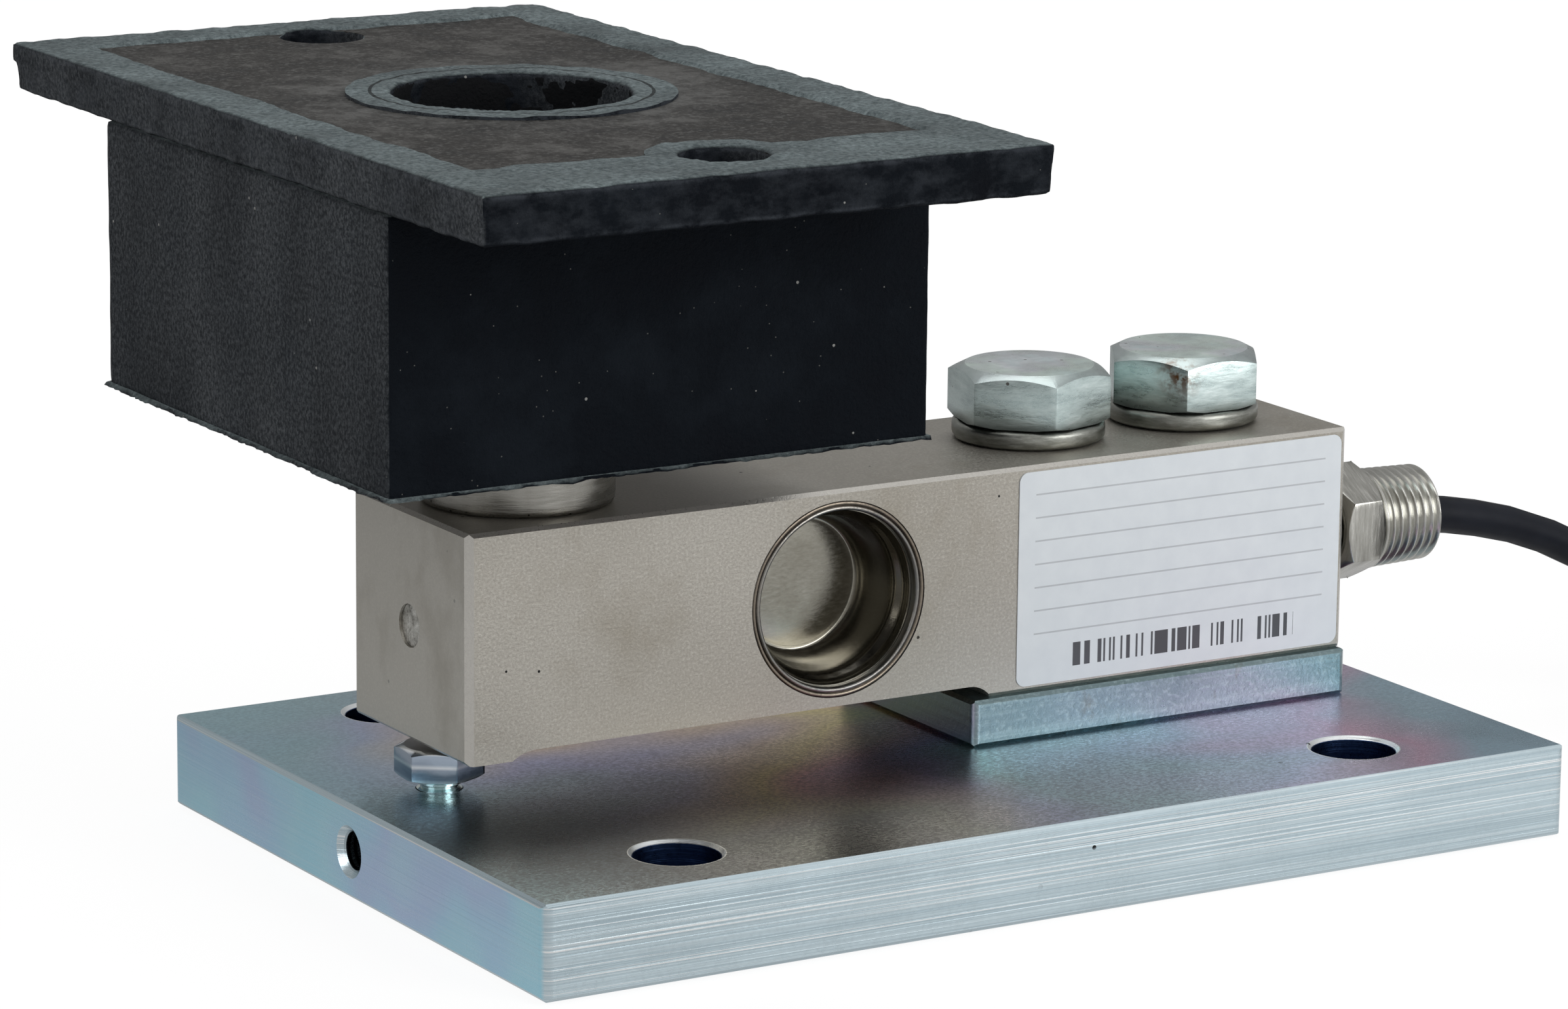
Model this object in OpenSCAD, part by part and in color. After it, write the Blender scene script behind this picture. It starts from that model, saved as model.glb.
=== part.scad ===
// Load cell weighing module: a shear-beam load cell on a base plate, with a rubber mount on its free end.
// Millimetres. The origin is the centre of the base plate's underside, +X runs to the cable end, +Z is up.

/* [Base plate] */
// Length of the base plate
base_l = 152.4; // [150:0.2:180]
// Width of the base plate
base_w = 101.6; // [94:0.2:130]
// Thickness of the base plate
base_t = 12.2; // [10:0.1:16]
// Broken edge all round the base plate
base_edge = 0.6; // [0.2:0.1:1.2]
// Rounded corner of the base plate
base_corner_r = 1.5; // [1:0.1:4]
// Fixing holes in the base plate
base_hole_d = 11; // [8:0.5:13]
// Countersink that breaks each fixing hole's edge
base_hole_sink = 0.5; // [0.2:0.1:1]
// Fixing hole from the plate's end
base_hole_x = 25.3; // [16:0.2:30]
// Fixing hole from the plate's side
base_hole_y = 12.4; // [9:0.2:15]
// Thread of the earthing hole in the plate's end
earth_d = 6; // [4:1:8]
// Depth of the earthing hole
earth_depth = 7.4; // [6:0.2:12]

/* [Spacer] */
// Length of the spacer plate under the fixed end
spacer_l = 59.4; // [56:0.2:62]
// Thickness of the spacer plate
spacer_t = 6.2; // [5:0.1:10]
// How far the spacer stands out on each side of the beam
spacer_proud = 1.2; // [0.4:0.1:3]
// Rounded edges of the spacer plate
spacer_edge = 0.5; // [0.2:0.1:1]

/* [Beam] */
// Length of the beam
beam_l = 133.3; // [130:0.1:140]
// Width of the beam
beam_w = 31; // [28:0.2:36]
// Height of the beam at its fixed end
beam_h = 30.2; // [29.5:0.1:36]
// Ground chamfer on the beam's upright edges
beam_chamfer = 0.9; // [0.3:0.1:1.2]
// Ground chamfer on the beam's long edges
beam_edge = 0.5; // [0.3:0.1:0.8]
// Beam's free end from the base plate's end
beam_inset = 9.6; // [8:0.2:14]
// Beam's centre line behind the base plate's centre line
beam_shift = 1.8; // [0:0.2:4]
// Free end's foot above the fixed end's seat
foot_rise = 0.6; // [0.2:0.1:1.2]
// Length of the foot under the free end
foot_l = 6.3; // [5.5:0.1:9]
// Relief under the beam, from the fixed end's seat
relief_depth = 1.75; // [1.4:0.05:3]
// Radius of the relief where it meets the seat
relief_r = 4; // [3.2:0.1:6]
// Radius of the relief where it meets the foot
ramp_r = 6; // [3.5:0.1:9]
// Mounting bolt from the beam's fixed end
bolt_end = 16.4; // [15:0.1:19]
// Distance between the two mounting bolts
bolt_pitch = 24.6; // [23:0.1:27]
// Load hole from the nearer mounting bolt
load_arm = 76.9; // [75:0.1:79]

/* [Gauge pockets] */
// Diameter of each pocket in the beam's sides
pocket_d = 24.4; // [23.6:0.1:24.6]
// Pocket's centre from the beam's free end
pocket_x = 53.7; // [48:0.1:58]
// Pocket's centre above the fixed end's seat
pocket_z = 15.8; // [15.6:0.1:16.2]
// Web left between the two pockets
web_t = 5; // [3:0.2:7]
// Outer diameter of the weld ring round a pocket, past the pocket's own diameter
weld_over = 1.4; // [1:0.1:1.8]
// Depth of the weld ring's seat
weld_depth = 1.1; // [0.8:0.1:1.4]
// Wall of the pressed sealing cup
cup_wall = 0.5; // [0.3:0.1:0.8]
// Depth of the cup's floor below the beam's face
cup_depth = 10.6; // [9:0.1:11]
// Width of the cup's mouth
cup_mouth_d = 22.6; // [22:0.1:22.8]
// Width of the cup's flat floor
cup_floor_d = 17.6; // [16:0.1:18.4]

/* [Fasteners] */
// Thread of the mounting bolts and the load bolt
bolt_d = 12; // [10:1:12]
// Clearance hole round a bolt, past its diameter
bolt_play = 1; // [0.6:0.1:1.2]
// Hexagon of the large bolts across its flats
bolt_af = 19; // [17:0.5:19.5]
// Height of the large bolts' heads
bolt_k = 7.2; // [6:0.1:8]
// Outer diameter of the lock washers
washer_od = 20.4; // [19:0.1:21.6]
// Thickness of the lock washers
washer_t = 2.7; // [2:0.1:3.2]
// Gap cut through a lock washer
washer_gap = 1.6; // [0.8:0.1:2.5]
// Thread of the stop screw
stop_d = 6; // [5:1:6]
// Hexagon of the stop screw across its flats
stop_af = 10; // [9:0.5:11]
// Height of the stop screw's head
stop_k = 4; // [3:0.1:4.2]
// Air between the stop screw's head and the foot
stop_gap = 1; // [0.6:0.1:1.2]
// Stop screw's axis from the beam's free end
stop_x = 4.2; // [4:0.1:4.8]

/* [Rubber mount] */
// Diameter of the load pad on the beam
pad_d = 24.8; // [22:0.2:28]
// Height of the load pad
pad_h = 11.3; // [9:0.1:14]
// Mount's centre from the load hole, towards the free end
mount_shift = 0.8; // [0:0.1:1.4]
// Rubber block along the beam
block_x = 75.4; // [70:0.2:77]
// Rubber block across the beam
block_y = 77.5; // [70:0.5:86]
// Height of the rubber block up to its flange
block_h = 34.4; // [28:0.2:44]
// Flange along the beam
flange_x = 77.6; // [77.2:0.2:90]
// From each fixing hole to the flange's end
flange_end = 12.3; // [11:0.1:20]
// Thickness of the flange
flange_t = 6.4; // [6.2:0.1:10]
// Draft of the flange's sides, from its top to its underside
flange_draft = 0.5; // [0.2:0.1:1.2]
// Bore through the mount's middle
bore_d = 29.7; // [28:0.1:31]
// Fixing holes in the flange
flange_hole_d = 11.2; // [9:0.1:13]
// Distance between the flange's fixing holes
flange_pitch = 104.2; // [96:0.1:124]
// Steel plate in the flange, along the beam
insert_x = 66; // [64:0.5:68]
// Rubber past each end of the steel plate
insert_cover = 4.4; // [3:0.1:5]
// Thickness of the steel plate in the flange
insert_t = 4.5; // [3:0.1:5]
// Rubber skin over the steel plate's rim
skin_t = 0.45; // [0.4:0.05:0.6]
// Bare part of the steel plate, along the beam
bare_x = 61.4; // [56:0.2:62]
// Rubber skin over the steel plate's ends, both together
bare_cover = 15.6; // [12:0.2:20]
// Bare part's centre behind the bore
bare_shift = 4.2; // [2:0.1:5]
// Thickness of the steel plate at the mount's bottom
foot_plate_t = 5; // [4:0.2:6]
// Side of the steel plate at the mount's bottom
foot_plate = 62; // [50:1:66]

/* [Cable fitting] */
// Fitting's axis above the fixed end's seat
fitting_rise = 13; // [11:0.1:17]
// Diameter of the fitting's neck
fitting_neck_d = 12; // [11:0.1:13]
// Length of the neck outside the beam
fitting_neck_l = 6.6; // [4:0.1:9]
// Hexagon of the cable fitting across its flats
fitting_af = 14.2; // [13:0.1:15]
// Length of the fitting's hexagon
fitting_hex_l = 6.6; // [4:0.1:8]
// Large end of the fitting's taper thread
fitting_thread_d = 13.7; // [13:0.1:14]
// Length of the fitting's taper thread
fitting_thread_l = 10.3; // [8:0.1:13]
// Cable diameter
cable_d = 5.2; // [4.6:0.1:5.6]
// Coil's centre from the fitting's end
coil_reach = 79.8; // [70:0.2:110]
// Coil's centre in front of the fitting's axis
coil_side = 43.6; // [40:0.2:48]
// Radius of the coil at the middle of its turns
coil_r = 29; // [28.6:0.2:30]

/* [Label] */
// Width of the rating label
label_w = 51.2; // [40:0.2:52]
// Height of the rating label
label_h = 28.6; // [20:0.2:28.8]
// Label's right edge from the beam's fixed end
label_inset = 1.2; // [1.1:0.1:4]
// Corner radius of the label
label_r = 1.3; // [0.6:0.1:3]

/* [Hidden] */
flange_y = flange_pitch + 2 * flange_end;
insert_y = flange_y - 2 * insert_cover;
bare_y = insert_y - bare_cover;

$fn = 64;
eps = 0.01;
// Radial play of a thread drawn plain, and of a piece pressed or fitted into its seat
thread_play = 0.05;
seat_play = 0.05;

// Levels, from the floor up
seat_z = base_t + spacer_t;
beam_top = seat_z + beam_h;
mount_z = beam_top + pad_h;
flange_z = mount_z + block_h;
top_z = flange_z + flange_t;
foot_z = seat_z + foot_rise;
mid_z = seat_z + beam_h / 2;

// Places along the beam
beam_x0 = -base_l / 2 + beam_inset;
beam_x1 = beam_x0 + beam_l;
beam_y = beam_shift;
bolt_right_x = beam_x1 - bolt_end;
bolt_left_x = bolt_right_x - bolt_pitch;
load_x = bolt_left_x - load_arm;
mount_x = load_x - mount_shift;
gauge_x = beam_x0 + pocket_x;
gauge_z = seat_z + pocket_z;
dimple_z = (foot_z + beam_top) / 2;
board_z = gauge_z - 0.287 * pocket_d;
spacer_x0 = beam_x1 - 0.2 - spacer_l;
step_x = spacer_x0 + 3.4;
face_y = beam_w / 2;

// Bolts
bolt_hole_d = bolt_d + bolt_play;
bolt_tip_z = 1.4;
bolt_corner = bolt_af / cos(30);
load_bolt_z = mount_z + foot_plate_t + washer_t;
load_tip_z = beam_top - 16;
load_bore_d = bolt_d + 2 * thread_play;
// The end plug's bore stops a wall short of the load bolt's
plug_sink = 0.4;
plug_wall = 1.3;
plug_end = load_x - load_bore_d / 2 - plug_wall;

// Stop screw
stop_head_z = foot_z - stop_gap - stop_k;
stop_axis_x = beam_x0 + stop_x;
stop_tip_z = 1.2;

// Cup
lip_d = pocket_d + weld_over;
ring_bore_d = pocket_d - 1.3;
cup_mouth = weld_depth + 0.05;
lead_turn_r = pocket_d / 2 - 0.8;
web_y = web_t / 2;

// Fitting and the wire duct that passes beside the mounting bolts
fitting_y = beam_y;
fitting_z = seat_z + fitting_rise;
fitting_seat = 6;
fitting_grip = 3.8;
fitting_x1 = beam_x1 + fitting_neck_l + fitting_hex_l;
fitting_x2 = fitting_x1 + fitting_thread_l;
wire_d = 2.6;
wire_y = beam_y - 8.6;
duct_x0 = gauge_x + 9;
duct_x1 = bolt_right_x + 0.7;
duct_end = [beam_x1 - 5.5, beam_y - 4.9, fitting_z];
duct_bend = [duct_x1, wire_y, fitting_z];
lead_x = beam_x1 + fitting_neck_l / 2;

// Cable route from the fitting to the coil, and from the coil to the bare end
// Each step of the lead: the share of the way to the coil, of the height left, and of the way to the side
tie_t = 0.8;
tie_play = 0.26;
lead_steps = [
    [0, 0.993, 0], [0.058, 0.964, 0], [0.123, 0.929, 0], [0.195, 0.882, 0], [0.283, 0.789, 0.015],
    [0.361, 0.679, 0.06], [0.436, 0.55, 0.147], [0.511, 0.411, 0.294], [0.586, 0.279, 0.47],
    [0.662, 0.164, 0.662], [0.737, 0.079, 0.824], [0.812, 0.025, 0.94], [0.9, 0.002, 0.993]
];
rest_z = cable_d / 2 + tie_t;
touch_y = fitting_y - coil_side + coil_r + 1.5 * cable_d;
lead_route = concat(
    [for (k = [0, 0.5, 0.8]) [lead_x + k * (fitting_x2 - lead_x), fitting_y, fitting_z]],
    [for (p = lead_steps)
        [fitting_x2 + p[0] * coil_reach, fitting_y + p[2] * (touch_y - fitting_y),
         rest_z + p[1] * (fitting_z - rest_z)]]
);
coil_x = fitting_x2 + coil_reach;
coil_y = fitting_y - coil_side;
coil_cols = 4;
coil_rows = 4;
coil_w = coil_cols * cable_d;
coil_h = coil_rows * cable_d;
// The tail leaves the top row and comes down round the outside of the coil, in steps of six degrees
tail_drop = coil_h + tie_t - cable_d;
tail_route = [for (k = [0:10])
    let (a = 36 - 6 * k, r = coil_r + cable_d * (2.31 + 0.25 * min(1, k / 3)))
    [coil_x + r * cos(a), coil_y + r * sin(a), cable_d / 2 + tail_drop * (1 + cos(20 * min(k, 9))) / 2]];
sleeve_l = 14;
core_l = 38;

// Rounded rectangle, centred
module round_rect(w, h, r) {
    union() {
        square([w - 2 * r, h], center = true);
        square([w, h - 2 * r], center = true);
        for (sx = [-1, 1], sy = [-1, 1])
            translate([sx * (w / 2 - r), sy * (h / 2 - r)])
                circle(r = r);
    }
}

// Rectangle with cut corners, centred
module cut_rect(w, h, c) {
    polygon([
        [-w / 2 + c, -h / 2], [w / 2 - c, -h / 2], [w / 2, -h / 2 + c], [w / 2, h / 2 - c],
        [w / 2 - c, h / 2], [-w / 2 + c, h / 2], [-w / 2, h / 2 - c], [-w / 2, -h / 2 + c]
    ]);
}

// Extrudes a shape drawn in X and Z across the whole width, centred on Y
module across(w) {
    rotate([90, 0, 0])
        linear_extrude(w, center = true)
            children();
}

// Extrudes a shape drawn in Y and Z along X, centred
module along(l) {
    rotate([90, 0, 90])
        linear_extrude(l, center = true)
            children();
}

// Plate with its long edges broken, standing on z = 0
module plate(l, w, t, edge, corner) {
    translate([0, 0, t / 2])
        intersection() {
            linear_extrude(t, center = true) round_rect(l, w, corner);
            across(w) cut_rect(l, t, edge);
            along(l) cut_rect(w, t, edge);
        }
}

// Hexagon head on z = 0 with both rims turned, axis up
module hex_head(af, k, top_cut, foot_cut) {
    r = af / cos(30) / 2;
    intersection() {
        cylinder(r = r, h = k, $fn = 6);
        rotate_extrude()
            polygon([
                [0, 0], [af / 2 - 0.4, 0], [af / 2 - 0.4 + foot_cut / tan(35), foot_cut],
                [r + 1, foot_cut + 1], [r + 1, k - top_cut - 1], [r, k - top_cut],
                [r - top_cut / tan(30), k], [0, k]
            ]);
    }
}

// Hexagon bolt, its head standing on z = 0 and its shank going down
module hex_bolt(d, af, k, shank, turn) {
    union() {
        rotate([0, 0, turn])
            hex_head(af, k, k * 0.2, k * 0.1);
        translate([0, 0, -shank + 1])
            cylinder(d = d, h = shank - 1 + eps);
        translate([0, 0, -shank])
            cylinder(d1 = d - 2, d2 = d, h = 1 + eps);
    }
}

// Split lock washer on z = 0, its cut turned to an angle
module lock_washer(od, bore, t, gap, turn) {
    r = 0.6;
    w = (od - bore) / 2;
    rotate([0, 0, turn])
        difference() {
            rotate_extrude()
                translate([bore / 2 + w / 2, t / 2])
                    round_rect(w, t, r);
            translate([od / 2, 0, t / 2])
                rotate([24, 0, 0])
                    cube([od, gap, 3 * t], center = true);
        }
}

// Pressed cup, its mouth at y = 0 and its floor towards +Y
module cup() {
    d = cup_depth - cup_mouth;
    rm = cup_mouth_d / 2;
    rf = cup_floor_d / 2;
    t = cup_wall;
    flange_r = pocket_d / 2 - seat_play;
    inner = [
        [rm, 0], [rm, 0.7], [rm - 0.25, 1.3], [rm - 0.75, 1.9], [rm - 1.05, 2.6], [rm - 1.15, 3.8],
        [rm - 1.2, 5.6], [rm - 1.35, 7], [rf + 0.75, 8.2], [rf + 0.35, 8.9], [rf - 0.1, d], [0, d - 0.12]
    ];
    rotate([-90, 0, 0])
        rotate_extrude()
            polygon(concat(
                inner,
                [[0, d + t], [rf + 0.1, d + t], [rf + 0.75, d + t - 0.45], [rm - 0.85, 7.1], [rm - 0.7, 5.6],
                 [rm - 0.65, 3.9], [rm - 0.5, 2.7], [rm + 0.1, 1.8], [rm + 0.3, 1.1], [rm + 0.4, t],
                 [flange_r, t], [flange_r, 0]]
            ));
}

// Weld ring, flush with y = 0, with a raised inner bead
module weld_ring() {
    ro = lip_d / 2 - seat_play;
    ri = ring_bore_d / 2;
    bead = (ro - ri) / 2;
    steps = 6;
    rotate([-90, 0, 0])
        rotate_extrude()
            polygon(concat(
                [[ro, weld_depth], [ri, weld_depth], [ri, bead]],
                [for (i = [1:steps])
                    let (a = 180 - 180 * i / steps)
                    [ri + bead / 2 + bead / 2 * cos(a), bead - bead * 1.1 * sin(a)]],
                [for (i = [1:steps])
                    let (a = 180 - 150 * i / steps)
                    [ri + 1.5 * bead + bead / 2 * cos(a), bead - bead * 0.8 * sin(a)]],
                [[ro, bead]]
            ));
}

// Tube along a list of points, as rings joined by faces
function unit(v) = v / norm(v);
function tangent(p, i) = unit(p[min(i + 1, len(p) - 1)] - p[max(i - 1, 0)]);
function side_dir(t) = unit(cross(t, [0.02, 0.05, 1]));
module swept_tube(p, d, sides) {
    n = len(p);
    pts = [
        for (i = [0:n - 1])
            let (t = tangent(p, i), u = side_dir(t), v = cross(u, t))
            for (k = [0:sides - 1])
                let (a = 360 * k / sides)
                p[i] + d / 2 * (u * cos(a) + v * sin(a))
    ];
    walls = [
        for (i = [0:n - 2], k = [0:sides - 1])
            let (j = (k + 1) % sides)
            [i * sides + k, i * sides + j, (i + 1) * sides + j, (i + 1) * sides + k]
    ];
    first = [for (k = [sides - 1:-1:0]) k];
    last = [for (k = [0:sides - 1]) (n - 1) * sides + k];
    polyhedron(points = pts, faces = concat([first], walls, [last]), convexity = 6);
}

module base_plate() {
    color("#B9C3C8")
        difference() {
            plate(base_l, base_w, base_t, base_edge, base_corner_r);
            for (sx = [-1, 1], sy = [-1, 1])
                translate([sx * (base_l / 2 - base_hole_x), sy * (base_w / 2 - base_hole_y), 0]) {
                    translate([0, 0, -1])
                        cylinder(d = base_hole_d, h = base_t + 2);
                    translate([0, 0, base_t - base_hole_sink])
                        cylinder(d1 = base_hole_d, d2 = base_hole_d + 4 * base_hole_sink, h = 2 * base_hole_sink);
                }
            for (x = [bolt_left_x, bolt_right_x])
                translate([x, beam_y, -1])
                    cylinder(d = bolt_d + 2 * thread_play, h = base_t + 2);
            translate([stop_axis_x, beam_y, -1])
                cylinder(d = stop_d + 2 * thread_play, h = base_t + 2);
            translate([-base_l / 2 - 1, 0, base_t / 2])
                rotate([0, 90, 0])
                    cylinder(d = earth_d - 1, h = earth_depth + 1);
            translate([-base_l / 2 - 0.4, 0, base_t / 2])
                rotate([0, 90, 0])
                    cylinder(d1 = earth_d + 1.6, d2 = earth_d - 1, h = 1.3);
        }
}

module spacer_plate() {
    color("#AEBBC4")
        difference() {
            translate([spacer_x0 + spacer_l / 2, beam_y, base_t])
                plate(spacer_l, beam_w + 2 * spacer_proud, spacer_t, spacer_edge, 1);
            for (x = [bolt_left_x, bolt_right_x])
                translate([x, beam_y, base_t - 1])
                    cylinder(d = bolt_hole_d, h = spacer_t + 2);
        }
}

// Side view of the beam: a foot, a long relief and the seat of the fixed end
module beam_profile() {
    r = relief_r;
    q = ramp_r;
    relief_z = seat_z + relief_depth;
    rise = relief_z - foot_z;
    ramp = sqrt(q * q - (q - rise) * (q - rise));
    foot_x = beam_x0 + foot_l;
    step = sqrt(r * r - (r - relief_depth) * (r - relief_depth));
    c = beam_edge;
    steps = 6;
    polygon(concat(
        [[beam_x0, beam_top - c], [beam_x0, foot_z + c], [beam_x0 + c, foot_z], [foot_x, foot_z]],
        [for (i = [1:steps])
            let (x = ramp * i / steps)
            [foot_x + x, relief_z - q + sqrt(q * q - (ramp - x) * (ramp - x))]],
        [for (i = [0:steps - 1])
            let (x = step * i / steps)
            [step_x - step + x, relief_z - r + sqrt(r * r - x * x)]],
        [[step_x, seat_z], [beam_x1 - c, seat_z], [beam_x1, seat_z + c],
         [beam_x1, beam_top - c], [beam_x1 - c, beam_top], [beam_x0 + c, beam_top]]
    ));
}

module beam_body() {
    color("#9B968C")
        difference() {
            intersection() {
                translate([0, beam_y, 0])
                    across(beam_w) beam_profile();
                translate([(beam_x0 + beam_x1) / 2, beam_y, seat_z - 1])
                    linear_extrude(beam_h + 2) cut_rect(beam_l, beam_w, beam_chamfer);
                translate([(beam_x0 + beam_x1) / 2, beam_y, mid_z])
                    along(beam_l + 2) cut_rect(beam_w, beam_h, beam_edge);
            }
            for (x = [bolt_left_x, bolt_right_x])
                translate([x, beam_y, seat_z - 1])
                    cylinder(d = bolt_hole_d, h = beam_h + 2);
            translate([load_x, beam_y, load_tip_z - 2])
                cylinder(d = load_bore_d, h = beam_h);
            for (s = [-1, 1])
                translate([gauge_x, beam_y, gauge_z])
                    rotate([s * 90, 0, 0]) {
                        translate([0, 0, web_y])
                            cylinder(d = pocket_d, h = face_y);
                        translate([0, 0, face_y - weld_depth])
                            cylinder(d = lip_d, h = weld_depth + 1);
                    }
            translate([duct_x0, wire_y, fitting_z])
                rotate([0, 90, 0])
                    cylinder(d = wire_d, h = duct_x1 - duct_x0);
            duct_leg(duct_end, duct_bend + 0.15 * (duct_bend - duct_end), wire_d + 0.5);
            translate([gauge_x, beam_y, board_z])
                rotate([90, 0, 0])
                    cylinder(d = 2.4, h = web_t + 2, center = true);
            translate([beam_x1 - fitting_seat - seat_play, fitting_y, fitting_z])
                rotate([0, 90, 0])
                    cylinder(d = fitting_neck_d + 2 * seat_play, h = fitting_seat + 1);
            translate([beam_x0 - 1, beam_y, dimple_z])
                rotate([0, 90, 0])
                    cylinder(d = 5.6, h = plug_end - beam_x0 + 1);
        }
}

// Round leg from one point to another
module duct_leg(p, q, d) {
    v = q - p;
    translate(p)
        rotate([0, acos(v[2] / norm(v)), atan2(v[1], v[0])])
            cylinder(d = d, h = norm(v));
}

module end_plug() {
    color("#B5B3AC")
        translate([beam_x0 + plug_sink, beam_y, dimple_z])
            rotate([0, 90, 0])
                cylinder(d = 5.6 - 2 * seat_play, h = plug_end - beam_x0 - plug_sink);
}

module on_side(s) {
    translate([gauge_x, beam_y - s * face_y, gauge_z])
        rotate([0, 0, s > 0 ? 0 : 180])
            children();
}

module front_cup() {
    color("#A9A79F")
        on_side(1) translate([0, cup_mouth, 0]) cup();
}

module back_cup() {
    color("#A9A79F")
        on_side(-1) translate([0, cup_mouth, 0]) cup();
}

module front_weld_ring() {
    color("#8E8B84")
        on_side(1) weld_ring();
}

module back_weld_ring() {
    color("#8E8B84")
        on_side(-1) weld_ring();
}

// Foil gauge with two crossed grids, laid on the web
module gauge() {
    union() {
        cube([10, 0.1, 7], center = true);
        for (a = [-45, 45], k = [-1.5:1:1.5])
            rotate([0, a, 0])
                translate([a / 15, -0.08, k * 0.7])
                    cube([3.2, 0.06 + eps, 0.35], center = true);
    }
}

module front_gauge() {
    color("#B8863B")
        translate([gauge_x, beam_y - web_y - 0.05 - eps, gauge_z + 1])
            gauge();
}

module back_gauge() {
    color("#B8863B")
        translate([gauge_x, beam_y + web_y + 0.05 + eps, gauge_z + 1])
            rotate([0, 0, 180])
                gauge();
}

module wiring_board() {
    w = 0.37 * pocket_d;
    h = 0.19 * pocket_d;
    t = 0.8;
    color("#2F6B45")
        translate([gauge_x, beam_y + web_y + t / 2 + eps, board_z])
            difference() {
                cube([w, t, h], center = true);
                for (sx = [-1, 1])
                    translate([sx * 0.38 * w, 0, 0])
                        rotate([90, 0, 0])
                            cylinder(d = t, h = 4 * t, center = true, $fn = 24);
            }
}

// Bundle of fine leads from the cable's end through the wire duct, turned down behind the cup
module inner_leads() {
    w = wire_d / 3.25;
    turn_x = gauge_x + sqrt(lead_turn_r * lead_turn_r - (fitting_z - gauge_z) * (fitting_z - gauge_z));
    points = [
        [turn_x, beam_y - web_y - 0.75 * w, fitting_z], [turn_x, wire_y + 1.25 * w, fitting_z],
        [turn_x + 0.4 * w, wire_y + 0.4 * w, fitting_z], [turn_x + 1.25 * w, wire_y, fitting_z],
        duct_bend - [1.9 * w, 0, 0], duct_bend + [w, 0.4 * w, 0], duct_end + [0, w / 4, 0],
        [beam_x1 - fitting_seat + 1.4 * w, fitting_y - 1.75 * w, fitting_z],
        [beam_x1 - fitting_grip + 2.2 * w, fitting_y, fitting_z], [lead_x - w / 8, fitting_y, fitting_z]
    ];
    color("#7A2F2A")
        swept_tube(points, w, 8);
}

module mounting_bolt(x, turn) {
    color("#B4BEC2")
        translate([x, beam_y, beam_top + washer_t])
            hex_bolt(bolt_d, bolt_af, bolt_k, beam_top + washer_t - bolt_tip_z, turn);
}

module mounting_bolt_left() {
    mounting_bolt(bolt_left_x, 16.2);
}

module mounting_bolt_right() {
    mounting_bolt(bolt_right_x, -1.1);
}

module lock_washer_left() {
    color("#9FA09B")
        translate([bolt_left_x, beam_y, beam_top])
            lock_washer(washer_od, bolt_d + 0.4, washer_t, washer_gap, 165);
}

module lock_washer_right() {
    color("#9FA09B")
        translate([bolt_right_x, beam_y, beam_top])
            lock_washer(washer_od, bolt_d + 0.4, washer_t, washer_gap, 60);
}

module stop_screw() {
    color("#A8B4BA")
        translate([stop_axis_x, beam_y, stop_head_z])
            hex_bolt(stop_d, stop_af, stop_k, stop_head_z - stop_tip_z, 25.3);
}

module load_pad() {
    color("#8F8D86")
        translate([load_x, beam_y, beam_top])
            rotate_extrude($fn = 96)
                polygon([
                    [bolt_hole_d / 2, 0], [pad_d / 2 - 0.5, 0], [pad_d / 2, 0.5], [pad_d / 2, pad_h - 0.5],
                    [pad_d / 2 - 0.5, pad_h], [bolt_hole_d / 2, pad_h]
                ]);
}

// Moulded rubber block under the flange, with the bore and the seat of the lower steel plate
module rubber_block() {
    color("#22262A")
        translate([mount_x, beam_y, mount_z])
            difference() {
                linear_extrude(block_h) round_rect(block_x, block_y, 2);
                translate([0, 0, -1])
                    cylinder(d = bore_d, h = block_h + 2);
                translate([0, 0, -1])
                    linear_extrude(foot_plate_t + 1) round_rect(foot_plate, foot_plate, 3);
            }
}

// Side view of the flange, narrower at its underside
module flange_profile(w) {
    r = 0.6;
    polygon([
        [-w / 2 + flange_draft, flange_z], [w / 2 - flange_draft, flange_z], [w / 2, top_z - r],
        [w / 2 - r, top_z], [-w / 2 + r, top_z], [-w / 2, top_z - r]
    ]);
}

// Rubber flange round the upper steel plate, with a collar round the bore and a lug at the front hole
module rubber_flange() {
    collar = 5.8;
    lug = 4;
    lining = 2.8;
    color("#22262A")
        translate([mount_x, beam_y, 0])
            difference() {
                intersection() {
                    translate([0, 0, flange_z])
                        linear_extrude(flange_t) round_rect(flange_x, flange_y, 2);
                    across(flange_y) flange_profile(flange_x);
                    along(flange_x) flange_profile(flange_y);
                }
                translate([0, 0, flange_z - 1])
                    cylinder(d = bore_d, h = flange_t + 2);
                for (s = [-1, 1])
                    translate([0, s * flange_pitch / 2, flange_z - 1])
                        cylinder(d = flange_hole_d, h = flange_t + 2);
                difference() {
                    translate([0, 0, top_z - skin_t - insert_t])
                        linear_extrude(insert_t) round_rect(insert_x, insert_y, 3);
                    translate([0, 0, flange_z])
                        cylinder(d = bore_d + 2 * lining, h = flange_t);
                }
                difference() {
                    translate([-0.3, bare_shift, top_z - skin_t - eps])
                        linear_extrude(skin_t + 1) round_rect(bare_x, bare_y, 1.5);
                    translate([0, 0, flange_z])
                        cylinder(d = bore_d + 2 * collar, h = flange_t + 2);
                    translate([0, -flange_pitch / 2, flange_z])
                        cylinder(d = flange_hole_d + 2 * lug, h = flange_t + 2);
                }
            }
}

module top_insert() {
    color("#4A4742")
        translate([mount_x, beam_y, top_z - skin_t - insert_t])
            difference() {
                linear_extrude(insert_t) round_rect(insert_x, insert_y, 3);
                translate([0, 0, -1])
                    cylinder(d = bore_d + 5.6, h = insert_t + 2);
                for (s = [-1, 1])
                    translate([0, s * flange_pitch / 2, -1])
                        cylinder(d = flange_hole_d, h = insert_t + 2);
            }
}

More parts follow.
